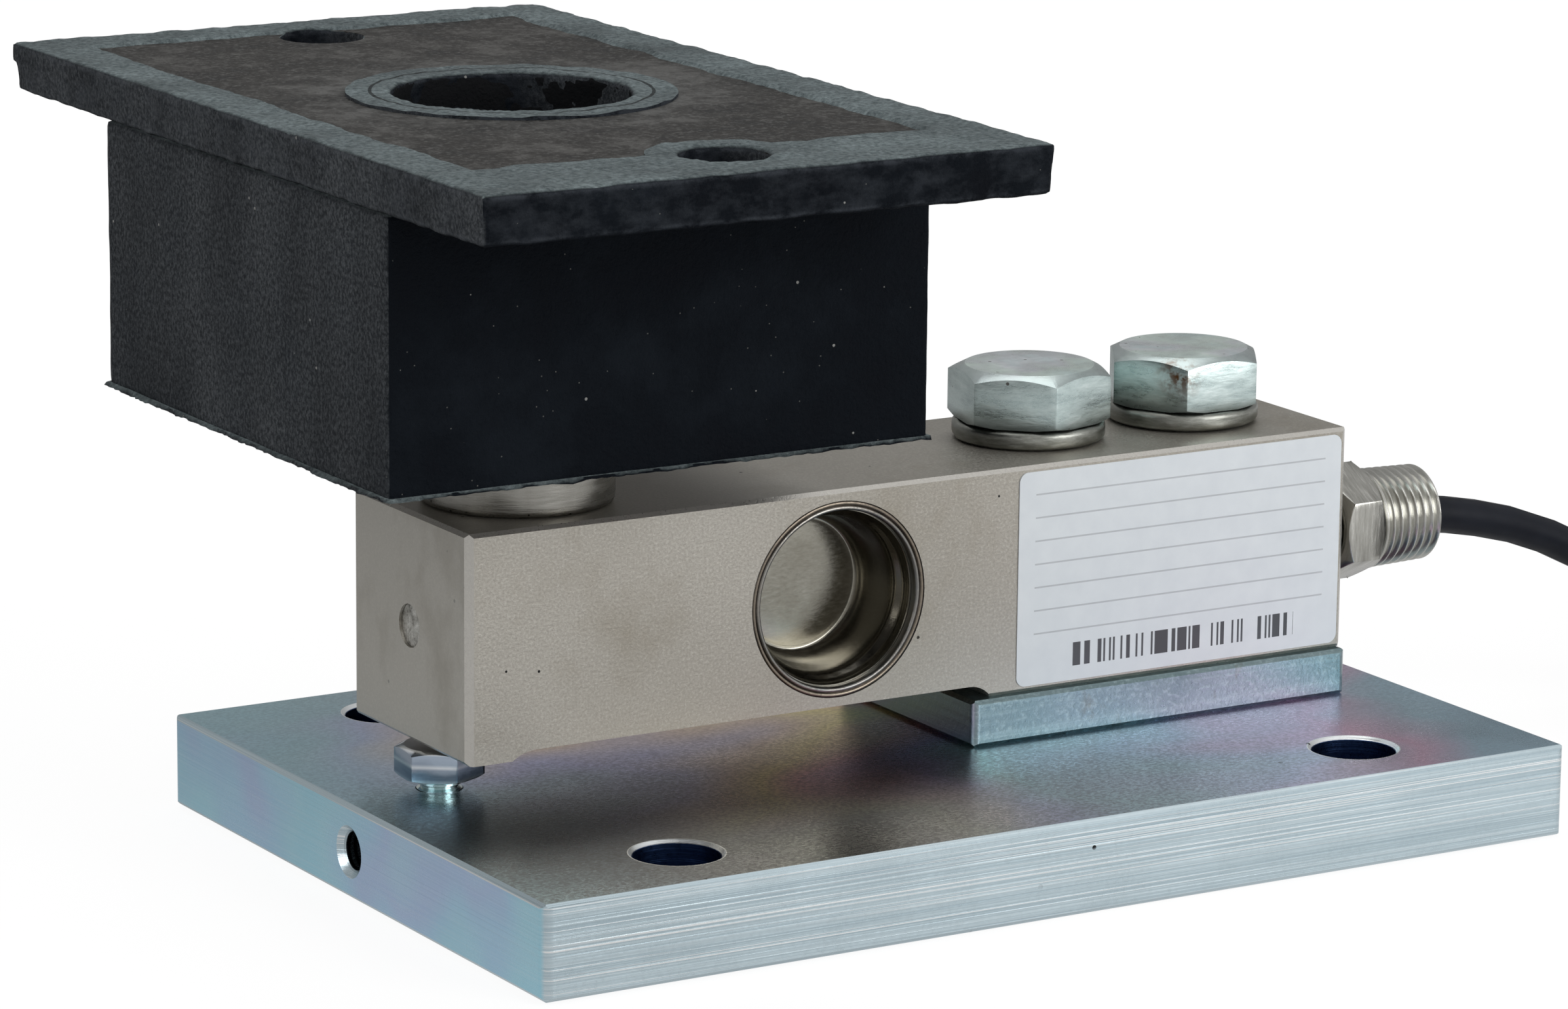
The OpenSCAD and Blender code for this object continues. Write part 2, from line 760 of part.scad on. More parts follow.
module bottom_insert() {
    color("#56534E")
        translate([mount_x, beam_y, mount_z])
            difference() {
                linear_extrude(foot_plate_t) round_rect(foot_plate, foot_plate, 3);
                translate([mount_shift, 0, -1])
                    cylinder(d = bolt_hole_d, h = foot_plate_t + 2);
            }
}

module load_bolt() {
    color("#AAB2B5")
        translate([load_x, beam_y, load_bolt_z])
            hex_bolt(bolt_d, bolt_af, bolt_k, load_bolt_z - load_tip_z, 10);
}

module load_washer() {
    color("#9FA09B")
        translate([load_x, beam_y, load_bolt_z - washer_t])
            lock_washer(washer_od, bolt_d + 0.4, washer_t, washer_gap, 200);
}

module rating_label() {
    color("#C9CED2")
        translate([beam_x1 - label_inset - label_w / 2, beam_y - face_y, seat_z + beam_h / 2])
            rotate([90, 0, 0])
                linear_extrude(0.15) round_rect(label_w, label_h, label_r);
}

module cable_fitting() {
    collar = 0.6;
    r = fitting_af / cos(30) / 2;
    hex_z = fitting_neck_l;
    thread_z = hex_z + fitting_hex_l;
    tip_d = fitting_thread_d - fitting_thread_l / 16;
    color("#A7A399")
        translate([beam_x1, fitting_y, fitting_z])
            rotate([0, 90, 0])
                difference() {
                    union() {
                        translate([0, 0, -fitting_grip])
                            cylinder(d = fitting_neck_d, h = fitting_grip + hex_z + 1);
                        translate([0, 0, hex_z])
                            intersection() {
                                cylinder(r = r, h = fitting_hex_l, $fn = 6);
                                rotate_extrude()
                                    polygon([
                                        [0, 0], [r - 1.6, 0], [r + 0.5, 1.4], [r + 0.5, fitting_hex_l - 1.4],
                                        [r - 1.4, fitting_hex_l], [0, fitting_hex_l]
                                    ]);
                            }
                        translate([0, 0, thread_z - eps])
                            cylinder(d = fitting_thread_d + 0.2, h = collar + eps);
                        translate([0, 0, thread_z + collar - eps])
                            cylinder(d1 = fitting_thread_d, d2 = tip_d, h = fitting_thread_l - collar - 1 + eps);
                        translate([0, 0, thread_z + fitting_thread_l - 1 - eps])
                            cylinder(d1 = tip_d, d2 = tip_d - 2, h = 1 + eps);
                    }
                    translate([0, 0, -fitting_seat - 1])
                        cylinder(d = cable_d + 0.4, h = fitting_seat + 4);
                    translate([0, 0, 2])
                        cylinder(d = cable_d + 2.4, h = fitting_neck_l + fitting_hex_l + fitting_thread_l);
                }
}

// Rubber sleeve that fills the fitting round the cable
module cable_seal() {
    color("#1D1F22")
        translate([beam_x1 + 2 + eps, fitting_y, fitting_z])
            rotate([0, 90, 0])
                difference() {
                    cylinder(d = cable_d + 2.4 - 2 * seat_play, h = fitting_x2 - beam_x1 - 5.4);
                    translate([0, 0, -1])
                        cylinder(d = cable_d + 2 * seat_play, h = fitting_x2 - beam_x1);
                }
}

module cable_lead() {
    color("#17191F")
        swept_tube(lead_route, cable_d, 12);
}

module cable_coil() {
    color("#17191F")
        translate([coil_x, coil_y, tie_t])
            rotate_extrude($fn = 96)
                translate([coil_r, coil_h / 2])
                    round_rect(coil_w, coil_h, 1.6);
}

// Strap round the coil, with its lock on top
module cable_tie(turn) {
    lock = 3.4;
    color("#2A2C30")
        translate([coil_x, coil_y, tie_t])
            rotate([90, 0, turn]) {
                difference() {
                    translate([coil_r, coil_h / 2, 0])
                        linear_extrude(3.6, center = true)
                            round_rect(coil_w + 2 * tie_t + tie_play, coil_h + 2 * tie_t, 2.4);
                    translate([coil_r, coil_h / 2, 0])
                        linear_extrude(5, center = true)
                            round_rect(coil_w + tie_play, coil_h, 1.6);
                }
                translate([coil_r + 4, coil_h + tie_t + lock / 2 - 0.1, 0])
                    cube([5.4, lock, 5.2], center = true);
            }
}

module cable_tie_1() {
    cable_tie(70);
}

module cable_tie_2() {
    cable_tie(190);
}

module cable_tie_3() {
    cable_tie(310);
}

module cable_tail() {
    color("#17191F")
        swept_tube(tail_route, cable_d, 12);
}

module at_tail_end() {
    n = len(tail_route);
    v = tail_route[n - 1] - tail_route[n - 2];
    translate(tail_route[n - 1])
        rotate([0, 90, atan2(v[1], v[0])])
            children();
}

module end_sleeve() {
    color("#101216")
        at_tail_end()
            cylinder(d1 = cable_d, d2 = cable_d - 0.8, h = sleeve_l);
}

// Six cores with crimped ends, fanned out flat on the floor
module stripped_cores() {
    colours = ["#B3261E", "#2E7D32", "#E6E6E6", "#1B1B1B", "#1F4FA3", "#D9B11E"];
    n = len(tail_route);
    v = tail_route[n - 1] - tail_route[n - 2];
    head = atan2(v[1], v[0]);
    start = tail_route[n - 1] + sleeve_l * [cos(head), sin(head), 0];
    for (i = [0:5])
        color(colours[i])
            let (a = (i - 2.5) * 7, side = (i - 2.5) * 0.7)
            translate([start[0] - side * sin(head), start[1] + side * cos(head), 0.75])
                rotate([0, 90, head + a]) {
                    cylinder(d = 1.3, h = core_l, $fn = 16);
                    translate([0, 0, core_l])
                        cylinder(d = 0.9, h = 7, $fn = 16);
                }
}

base_plate();
spacer_plate();
beam_body();
end_plug();
front_cup();
back_cup();
front_weld_ring();
back_weld_ring();
front_gauge();
back_gauge();
wiring_board();
inner_leads();
mounting_bolt_left();
mounting_bolt_right();
lock_washer_left();
lock_washer_right();
stop_screw();
load_pad();
rubber_block();
rubber_flange();
top_insert();
bottom_insert();
load_bolt();
load_washer();
rating_label();
cable_fitting();
cable_seal();
cable_lead();
cable_coil();
cable_tie_1();
cable_tie_2();
cable_tie_3();
cable_tail();
end_sleeve();
stripped_cores();
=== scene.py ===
# %% [markdown]
# # A load cell weighing module
# A steel beam is bolted by one end to a base plate. Its free end carries a block of rubber with a steel plate
# in its top, and a sealed pocket in its side hides the gauges that feel the load. A thin cable leaves the
# other end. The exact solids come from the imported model. This lesson gives them their finish, and models again
# the pieces whose small shapes matter: rubber, bolts, washers, cups, fitting and cable.

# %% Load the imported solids
import bpy
import bmesh
import math
import random
import mathutils.noise
from mathutils import Matrix, Vector


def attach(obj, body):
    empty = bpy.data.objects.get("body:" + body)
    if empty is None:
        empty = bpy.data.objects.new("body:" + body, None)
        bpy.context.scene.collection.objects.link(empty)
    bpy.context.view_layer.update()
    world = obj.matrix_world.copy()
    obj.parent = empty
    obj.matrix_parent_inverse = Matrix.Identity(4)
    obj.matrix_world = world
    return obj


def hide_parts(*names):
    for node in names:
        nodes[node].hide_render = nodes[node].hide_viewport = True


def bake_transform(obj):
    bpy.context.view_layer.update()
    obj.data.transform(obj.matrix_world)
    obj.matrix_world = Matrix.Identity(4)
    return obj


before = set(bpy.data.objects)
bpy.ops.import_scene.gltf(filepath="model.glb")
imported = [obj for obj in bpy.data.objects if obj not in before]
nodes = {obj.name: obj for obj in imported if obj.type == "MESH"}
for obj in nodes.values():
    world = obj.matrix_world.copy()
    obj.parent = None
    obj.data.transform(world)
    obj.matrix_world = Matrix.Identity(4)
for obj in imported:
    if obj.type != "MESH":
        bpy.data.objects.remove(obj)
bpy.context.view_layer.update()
mm = 0.001

# %% [markdown]
# ## The camera
# The photograph was taken with a long lens from the front left, a little above the plate. Its place was worked
# out from the straight edges of the plate, the beam and the flange, so the solids fall on their own outlines.

# %% Camera
CAMERA_PLACE = Vector((-0.4200, -0.6754, 0.2245))
TURN, RISE, TILT = math.radians(-31.074), math.radians(12.899), math.radians(0.589)
back = Vector((math.sin(TURN) * math.cos(RISE), -math.cos(TURN) * math.cos(RISE), math.sin(RISE)))
level = Vector((0, 0, 1)).cross(back).normalized()
upright = back.cross(level)
cam_x = level * math.cos(TILT) + upright * math.sin(TILT)
cam_y = upright * math.cos(TILT) - level * math.sin(TILT)
bpy.ops.object.camera_add()
camera = bpy.context.object
camera.name = "photo_camera"
camera.matrix_world = Matrix((
    (cam_x.x, cam_y.x, back.x, CAMERA_PLACE.x), (cam_x.y, cam_y.y, back.y, CAMERA_PLACE.y),
    (cam_x.z, cam_y.z, back.z, CAMERA_PLACE.z), (0, 0, 0, 1)))
camera.data.sensor_width = 36
camera.data.lens = 9557.9 / 2393 * 36
camera.data.clip_start, camera.data.clip_end = 0.02, 20
bpy.context.scene.camera = camera
print("lens", round(camera.data.lens, 1), "mm at", [round(v, 3) for v in CAMERA_PLACE])

# %% [markdown]
# ## Tools of the bench
# An operator acts on whatever is selected, so each step starts with nothing selected. A finished piece has its
# place in its mesh and its object at the origin, as the solids have.

# %% Small helpers
def only(piece):
    bpy.ops.object.select_all(action="DESELECT")
    piece.select_set(True)
    bpy.context.view_layer.objects.active = piece
    return piece


def edit(action="SELECT"):
    bpy.ops.object.mode_set(mode="EDIT")
    bpy.ops.mesh.select_all(action=action)


def leave_edit():
    bpy.ops.object.mode_set(mode="OBJECT")


def newest(name):
    piece = bpy.context.object
    piece.name = piece.data.name = name
    return only(piece)


def settle(piece):
    only(piece)
    bpy.ops.object.transform_apply(location=True, rotation=True, scale=True)
    return piece


def tidy_shell(piece, merge=0.00001):
    only(piece)
    edit()
    bpy.ops.mesh.remove_doubles(threshold=merge)
    bpy.ops.mesh.normals_make_consistent(inside=False)
    leave_edit()
    return piece


def apply_all(piece):
    only(piece)
    for m in list(piece.modifiers):
        bpy.ops.object.modifier_apply(modifier=m.name)
    return piece


def cut(piece, tool, how="DIFFERENCE"):
    m = piece.modifiers.new("cut", "BOOLEAN")
    m.operation, m.solver, m.object = how, "EXACT", tool
    apply_all(piece)
    bpy.data.objects.remove(tool)
    return piece


def soften(piece, width, segments=2, angle=30):
    m = piece.modifiers.new("soften", "BEVEL")
    m.width, m.segments, m.limit_method, m.angle_limit = width, segments, "ANGLE", math.radians(angle)
    m.harden_normals = False
    return apply_all(piece)


def smooth(piece, angle=35):
    only(piece)
    bpy.ops.object.shade_smooth_by_angle(angle=math.radians(angle))
    return piece


def rod(name, radius, low, high, x, y, sides=96):
    radius, low, high, x, y = (v * mm for v in (radius, low, high, x, y))
    bpy.ops.mesh.primitive_cylinder_add(vertices=sides, radius=radius, depth=high - low,
                                        location=(x, y, (low + high) / 2))
    return settle(newest(name))


def slab(name, size, centre):
    bpy.ops.mesh.primitive_cube_add(size=1, location=[v * mm for v in centre], scale=[v * mm for v in size])
    return settle(newest(name))


def lathe(name, outline, steps=128):
    """Turns an outline of (radius, height) pairs, in millimetres, round the Z axis, as on a lathe."""
    outline = [(a * mm, b * mm) for a, b in outline]
    bpy.ops.mesh.primitive_plane_add(size=0.001, location=(0, 0, 0))
    piece = newest(name)
    edit()
    bpy.ops.mesh.merge(type="CENTER")
    bpy.ops.transform.translate(value=(outline[0][0], 0, outline[0][1]))
    for (r0, z0), (r1, z1) in zip(outline, outline[1:]):
        bpy.ops.mesh.extrude_vertices_move(TRANSFORM_OT_translate={"value": (r1 - r0, 0, z1 - z0)})
    bpy.ops.mesh.select_all(action="SELECT")
    bpy.ops.mesh.spin(steps=steps, angle=2 * math.pi, center=(0, 0, 0), axis=(0, 0, 1))
    leave_edit()
    return tidy_shell(piece)


def place(piece, matrix):
    piece.data.transform(matrix)
    return piece


def join(piece, other):
    only(piece)
    other.select_set(True)
    bpy.ops.object.join()


def fit(piece, body, slot, finish, *stands_for):
    """The piece takes its finish, stands for its solids and rides on their body."""
    piece.data.materials.clear()
    piece.data.materials.append(finish)
    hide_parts(*stands_for)
    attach(piece, body)
    print(piece.name, "stands for", ", ".join(stands_for), "-", len(piece.data.polygons), "faces")
    return piece

# %% [markdown]
# ## How finishes are mixed
# Each finish is a tree of nodes on the Principled shader. Noise on Object coordinates stays with the metal when
# it is seen from another side. These helpers add one node or one wire at a time.

# %% Node helpers
def new_finish(name, colour, roughness, metallic=0.0):
    m = bpy.data.materials.new(name)
    m.use_nodes = True
    tree = m.node_tree
    shader = tree.nodes["Principled BSDF"]
    shader.inputs["Base Color"].default_value = (*colour, 1)
    shader.inputs["Roughness"].default_value = roughness
    shader.inputs["Metallic"].default_value = metallic
    return m, tree, shader


def add(tree, kind, inputs=None, **settings):
    n = tree.nodes.new("ShaderNode" + kind)
    for k, v in settings.items():
        setattr(n, k, v)
    for k, v in (inputs or {}).items():
        if isinstance(v, bpy.types.NodeSocket):
            tree.links.new(v, n.inputs[k])
        else:
            n.inputs[k].default_value = v
    return n


def object_point(tree, scale=(1, 1, 1), move=(0, 0, 0), turn=(0, 0, 0)):
    where = add(tree, "TexCoord").outputs["Object"]
    return add(tree, "Mapping", {"Vector": where, "Scale": scale, "Location": move,
                                 "Rotation": turn}).outputs["Vector"]


def noise(tree, point, scale, detail=4.0, roughness=0.55):
    return add(tree, "TexNoise", {"Vector": point, "Scale": scale, "Detail": detail,
                                  "Roughness": roughness}).outputs["Fac"]


def cells(tree, point, scale):
    """Distance from the nearest of many scattered points."""
    return add(tree, "TexVoronoi", {"Vector": point, "Scale": scale}, feature="F1").outputs["Distance"]


def stops(tree, value, *marks, constant=False):
    """A colour ramp: marks are (place, colour)."""
    ramp = add(tree, "ValToRGB", {"Fac": value})
    ramp.color_ramp.interpolation = "CONSTANT" if constant else "LINEAR"
    e = ramp.color_ramp.elements
    while len(e) < len(marks):
        e.new(0.5)
    for k, (at, colour) in enumerate(marks):
        e[k].position = at
        e[k].color = (*colour, 1) if hasattr(colour, "__len__") else (colour, colour, colour, 1)
    return ramp.outputs["Color"]


def blend(tree, share, a, b, how="MIX"):
    n = add(tree, "Mix", data_type="RGBA", blend_type=how)
    for socket, v in ((n.inputs[0], share), (n.inputs[6], a), (n.inputs[7], b)):
        if isinstance(v, bpy.types.NodeSocket):
            tree.links.new(v, socket)
        else:
            socket.default_value = (*v, 1) if hasattr(v, "__len__") else v
    return n.outputs[2]


def calc(tree, how, a, b=0.0, clamp=False):
    n = add(tree, "Math", operation=how, use_clamp=clamp)
    for k, v in enumerate((a, b)):
        if isinstance(v, bpy.types.NodeSocket):
            tree.links.new(v, n.inputs[k])
        else:
            n.inputs[k].default_value = v
    return n.outputs[0]


def times(tree, a, b):
    return calc(tree, "MULTIPLY", a, b)


def plus(tree, a, b):
    return calc(tree, "ADD", a, b)


def minus(tree, a, b):
    return calc(tree, "SUBTRACT", a, b)


def below(tree, a, b):
    return calc(tree, "LESS_THAN", a, b)


def above(tree, a, b):
    return calc(tree, "GREATER_THAN", a, b)


def size_of(tree, a):
    return calc(tree, "ABSOLUTE", a)


def remap(tree, value, low, high, to_low=0.0, to_high=1.0):
    return add(tree, "MapRange", {"Value": value, "From Min": low, "From Max": high, "To Min": to_low,
                                  "To Max": to_high}).outputs[0]


def xyz(tree, vector):
    return add(tree, "SeparateXYZ", {"Vector": vector}).outputs


def facing(tree):
    return xyz(tree, add(tree, "NewGeometry").outputs["Normal"])


def around(tree, x, y, axes=(0, 1)):
    """Distance from an upright line, in metres."""
    p = xyz(tree, add(tree, "TexCoord").outputs["Object"])
    dx = minus(tree, p[axes[0]], x)
    dy = minus(tree, p[axes[1]], y)
    return calc(tree, "SQRT", plus(tree, times(tree, dx, dx), times(tree, dy, dy)))


def relief(tree, shader, height, distance, strength=1.0):
    bump = add(tree, "Bump", {"Height": height, "Distance": distance, "Strength": strength})
    tree.links.new(bump.outputs["Normal"], shader.inputs["Normal"])


def colour_of(tree, shader, colour):
    tree.links.new(colour, shader.inputs["Base Color"])


def dull(shader, level):
    shader.inputs["Specular IOR Level"].default_value = level


def rough_of(tree, shader, value):
    tree.links.new(value, shader.inputs["Roughness"])


def rough_by(tree, shader, pattern, low, high):
    rough_of(tree, shader, remap(tree, pattern, 0.3, 0.7, low, high))


def dress(finish, *names):
    for n in names:
        solid = nodes[n]
        solid.data.materials.clear()
        solid.data.materials.append(finish)
    print(finish.name, "on", ", ".join(names))

# %% [markdown]
# ## The cable first
# The signal cable is 5.2 mm thick and about 3 m long. It leaves the fitting, sags to the floor, and the length
# that the photograph doesn't show is wound into a round coil. Each turn goes once round at one radius and then
# steps over by one thickness. At the end of a layer the step goes up and the next layer comes back.

# %% Cable route
CABLE = 5.2
COIL_X, COIL_Y, COIL_R, FIRST_Z = 170.0, -41.8, 29.0, 3.4
lead_points = [
    (86, 1.8, 31.4), (90.2, 1.8, 31.2), (94.8, 1.8, 30.4), (100, 1.8, 29.4), (105.8, 1.8, 28.1),
    (112.8, 1.7, 25.5), (119, 1.4, 22.4), (125, 0.8, 18.8), (131, -0.2, 14.9), (137, -1.4, 11.2),
    (143, -2.7, 8.0), (149, -3.8, 5.6), (155, -4.6, 4.1), (162, -4.95, 3.45)]
tail_points = []
for k in range(1, 11):
    turn, reach = math.radians(36 - 6 * k), COIL_R + CABLE * (2.31 + 0.25 * min(1, k / 3))
    tail_points.append((COIL_X + reach * math.cos(turn), COIL_Y + reach * math.sin(turn),
                        CABLE / 2 + 16.4 * (1 + math.cos(math.radians(20 * min(k, 9)))) / 2))


def ease(t):
    t = max(0.0, min(1.0, t))
    return t * t * (3 - 2 * t)


def coil_point(turns):
    """A point of the coil after a number of turns, clockwise from its far side."""
    whole = min(15, int(turns))
    part = turns - whole
    layer, place_in = divmod(whole, 4)
    column = place_in if layer % 2 == 0 else 3 - place_in
    radius, height = COIL_R + CABLE * (1.5 - column), FIRST_Z + CABLE * layer
    if whole < 15:
        if place_in < 3:
            radius += (-CABLE if layer % 2 == 0 else CABLE) * ease((part - 0.5) / 0.3)
        else:
            height += CABLE * ease((part - 0.8) / 0.18)
    elif part > 1.05:
        radius += 4.2 * ease((part - 1.05) / 0.103)
    angle = math.radians(90 - 360 * turns)
    return (COIL_X + radius * math.cos(angle), COIL_Y + radius * math.sin(angle), height)


route = lead_points + [coil_point(k / 36) for k in range(0, int(16.15 * 36) + 1)] + tail_points


def rounded(points, passes=2):
    for _ in range(passes):
        points = [points[0]] + [
            tuple(0.25 * a[i] + 0.5 * b[i] + 0.25 * c[i] for i in range(3))
            for a, b, c in zip(points, points[1:], points[2:])] + [points[-1]]
    return points


route = rounded(route, 1)

# %% Cable
line = bpy.data.curves.new("signal_cable", "CURVE")
line.dimensions = "3D"
line.bevel_depth = CABLE / 2 * mm
line.bevel_resolution = 3
line.use_fill_caps = True
spline = line.splines.new("POLY")
spline.points.add(len(route) - 1)
for point, (x, y, z) in zip(spline.points, route):
    point.co = (x * mm, y * mm, z * mm, 1)
spline.use_smooth = True
cable = bpy.data.objects.new("signal_cable", line)
bpy.context.collection.objects.link(cable)
print("a sheath", CABLE, "mm thick on", len(spline.points), "points")

# %% [markdown]
# The sheath is matte navy-black plastic with a faint drag from the extruder. The ties are smooth nylon, and the
# six cores at the bare end carry their usual colours, so one finish tells them apart by their direction.

# %% Cable finishes
sheath, tree, shader = new_finish("navy_sheath", (0.012, 0.014, 0.021), 0.5)
dull(shader, 0.16)
point = object_point(tree)
colour_of(tree, shader, stops(tree, noise(tree, point, 90), (0.35, (0.005, 0.006, 0.010)),
                              (0.7, (0.010, 0.012, 0.018))))
rough_by(tree, shader, noise(tree, point, 260), 0.42, 0.6)
relief(tree, shader, noise(tree, point, 1500), 0.00005, 0.4)

nylon, tree, shader = new_finish("black_nylon", (0.02, 0.02, 0.022), 0.32)
point = object_point(tree)
rough_by(tree, shader, noise(tree, point, 220), 0.26, 0.44)
relief(tree, shader, noise(tree, point, 900), 0.00005, 0.3)

sleeve_finish, tree, shader = new_finish("shrunk_sleeve", (0.011, 0.011, 0.012), 0.4)
point = object_point(tree)
relief(tree, shader, noise(tree, point, 400), 0.0001, 0.4)
rough_by(tree, shader, noise(tree, point, 300), 0.34, 0.5)

cores_finish, tree, shader = new_finish("coloured_cores", (0.5, 0.1, 0.1), 0.38)
last, before = Vector(tail_points[-1]), Vector(tail_points[-2])
ahead = (last - before).xy.normalized()
apex = last.xy + ahead * (14 - 5.73)
fan = xyz(tree, object_point(tree, scale=(1000, 1000, 1000), move=(-apex.x, -apex.y, 0)))
along = plus(tree, times(tree, fan[0], ahead.x), times(tree, fan[1], ahead.y))
across = minus(tree, times(tree, fan[1], ahead.x), times(tree, fan[0], ahead.y))
share = remap(tree, calc(tree, "ARCTAN2", across, along), math.radians(-21), math.radians(21))
colour_of(tree, shader, stops(tree, share, (0.0, (0.55, 0.03, 0.02)), (0.17, (0.03, 0.25, 0.05)),
                              (0.33, (0.75, 0.75, 0.72)), (0.5, (0.02, 0.02, 0.02)), (0.67, (0.03, 0.1, 0.45)),
                              (0.83, (0.75, 0.5, 0.03)), constant=True))
relief(tree, shader, noise(tree, object_point(tree), 700), 0.00004, 0.3)

line.materials.append(sheath)
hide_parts("cable_lead", "cable_coil", "cable_tail")
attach(cable, "module")
dress(nylon, "cable_tie_1", "cable_tie_2", "cable_tie_3")
dress(sleeve_finish, "end_sleeve")
dress(cores_finish, "stripped_cores")

# %% [markdown]
# ## Zinc plate
# The base plate is sawn from flat bar and zinc plated. Its passivation leaves a thin film that shines in blue,
# lilac and yellow on the broad top. The sawn front keeps long level scratches. The finish tells the faces apart
# by the direction they face, and finds the four holes by their distance, to bare their rims. Painted shade darkens
# the top in front of the beam, the walls of the holes and the tapped hole in the left end. The top edges are
# partly worn and partly painted lighter as a painted highlight.

# %% Base plate finish
HALF_LONG, HALF_WIDE, PLATE_TOP = 0.0762, 0.0508, 0.0122
HOLES_X, HOLES_Y, HOLE_EDGE, RIM_EDGE = 0.0509, 0.0384, 0.00556, 0.0061
zinc, tree, shader = new_finish("passivated_zinc", (0.5, 0.55, 0.58), 0.3, 1.0)
point = object_point(tree)
side = facing(tree)
is_top = remap(tree, side[2], 0.75, 0.95)
is_left = remap(tree, side[0], -0.75, -0.95)
here = xyz(tree, point)
drift = noise(tree, object_point(tree, move=(0.3, 0.1, 0.2)), 60, 5.0, 0.6)
film = plus(tree, remap(tree, noise(tree, object_point(tree, scale=(1, 1.4, 1)), 17, 2.0, 0.5), 0.3, 0.7, -0.18,
                        0.18),
            remap(tree, minus(tree, here[0], times(tree, here[1], 0.5)), -0.1, 0.1, 0.1, 0.9))
top_film_and_painted_shade = stops(tree, film, (0.0, (0.40, 0.58, 0.62)), (0.17, (0.36, 0.50, 0.56)), (0.26, (0.44, 0.44, 0.66)),
                 (0.34, (0.66, 0.52, 0.44)), (0.42, (0.78, 0.66, 0.30)), (0.5, (0.78, 0.42, 0.42)),
                 (0.58, (0.52, 0.38, 0.68)), (0.68, (0.38, 0.60, 0.62)), (0.78, (0.46, 0.52, 0.68)),
                 (0.87, (0.68, 0.44, 0.62)), (1.0, (0.40, 0.58, 0.70)))
# Painted shade: the top is painted darker in a strip at the front, in a round spot at the front left and towards the
# middle in front of the beam.
painted_shade_front_strip = times(tree, remap(tree, here[1], -0.020, -0.036), remap(tree, here[0], 0.03, -0.01))
top_film_and_painted_shade = blend(tree, times(tree, painted_shade_front_strip, 0.8), top_film_and_painted_shade, (0.24, 0.31, 0.36))
top_film_and_painted_shade = blend(tree, remap(tree, here[0], -0.050, -0.072, 0.0, 0.75), top_film_and_painted_shade, (0.34, 0.56, 0.64))
top_film_and_painted_shade = blend(tree, remap(tree, around(tree, -0.062, -0.028), 0.024, 0.008, 0.0, 0.8), top_film_and_painted_shade,
                 (0.10, 0.14, 0.16))
grain = noise(tree, object_point(tree, scale=(1, 1.3, 1)), 1700, 3.0, 0.75)
from_middle = plus(tree, here[0], 0.015)
from_middle = calc(tree, "MAXIMUM", from_middle, times(tree, from_middle, -0.5))
painted_shade_middle = times(tree, remap(tree, from_middle, 0.075, 0.02), remap(tree, here[1], 0.012, -0.03))
top_colour = blend(tree, times(tree, remap(tree, grain, 0.42, 0.58), remap(tree, painted_shade_middle, 0.0, 1.0, 0.22, 0.75)),
                   top_film_and_painted_shade, (0.07, 0.065, 0.07))
top_colour = blend(tree, remap(tree, painted_shade_middle, 0.2, 1.0, 0.0, 0.5), top_colour, (0.12, 0.115, 0.12))
streaks = noise(tree, object_point(tree, scale=(4, 4, 1100)), 3.0, 2.0, 0.6)
lines = noise(tree, object_point(tree, scale=(2.5, 2.5, 1900)), 3.0, 1.0, 0.5)
fine = noise(tree, object_point(tree, scale=(14, 14, 2600)), 2.0, 3.0, 0.6)
front_colour = stops(tree, streaks, (0.3, (0.44, 0.55, 0.61)), (0.46, (0.54, 0.65, 0.70)),
                     (0.62, (0.62, 0.73, 0.78)), (0.75, (0.72, 0.82, 0.86)))
front_colour = blend(tree, remap(tree, fine, 0.4, 0.7, 0.0, 0.3), front_colour, (0.42, 0.52, 0.58))
front_colour = blend(tree, remap(tree, lines, 0.63, 0.69, 0.0, 0.9), front_colour, (0.97, 0.98, 0.98))
blues = noise(tree, object_point(tree, move=(0.1, 0, 0)), 32, 2.0, 0.5)
left_colour = stops(tree, blues, (0.3, (0.37, 0.70, 0.84)), (0.44, (0.42, 0.70, 0.82)),
                    (0.53, (0.42, 0.64, 0.82)), (0.6, (0.45, 0.58, 0.80)), (0.72, (0.44, 0.70, 0.80)))
left_colour = blend(tree, remap(tree, fine, 0.4, 0.75, 0.0, 0.2), left_colour, (0.70, 0.80, 0.86))
skin = blend(tree, is_left, front_colour, left_colour)
skin = blend(tree, is_top, skin, top_colour)
from_hole_x = minus(tree, size_of(tree, here[0]), HOLES_X)
from_hole_y = minus(tree, size_of(tree, here[1]), HOLES_Y)
hole_r = calc(tree, "SQRT", plus(tree, times(tree, from_hole_x, from_hole_x),
                                 times(tree, from_hole_y, from_hole_y)))
hole_wall_painted_shade = below(tree, hole_r, HOLE_EDGE)
on_rim = times(tree, below(tree, hole_r, RIM_EDGE), above(tree, hole_r, HOLE_EDGE))
skin = blend(tree, on_rim, skin, (0.80, 0.83, 0.84))
to_edge = calc(tree, "MINIMUM", minus(tree, HALF_LONG, size_of(tree, here[0])),
               minus(tree, HALF_WIDE, size_of(tree, here[1])))
# Partly wear and partly painted highlight: the top edges are painted lighter.
worn_edge_and_highlight = times(tree, remap(tree, plus(tree, to_edge, minus(tree, PLATE_TOP, here[2])), 0.0006, 0.0002),
             remap(tree, grain, 0.35, 0.6, 0.3, 1.0))
skin = blend(tree, times(tree, worn_edge_and_highlight, 0.7), skin, (0.88, 0.91, 0.92))
# Painted shade: the walls of the four holes are painted dark blue.
skin = blend(tree, hole_wall_painted_shade, skin, (0.03, 0.06, 0.15))
chip = below(tree, cells(tree, point, 130.0), 0.045)
skin = blend(tree, times(tree, chip, remap(tree, drift, 0.5, 0.55)), skin, (0.03, 0.03, 0.03))
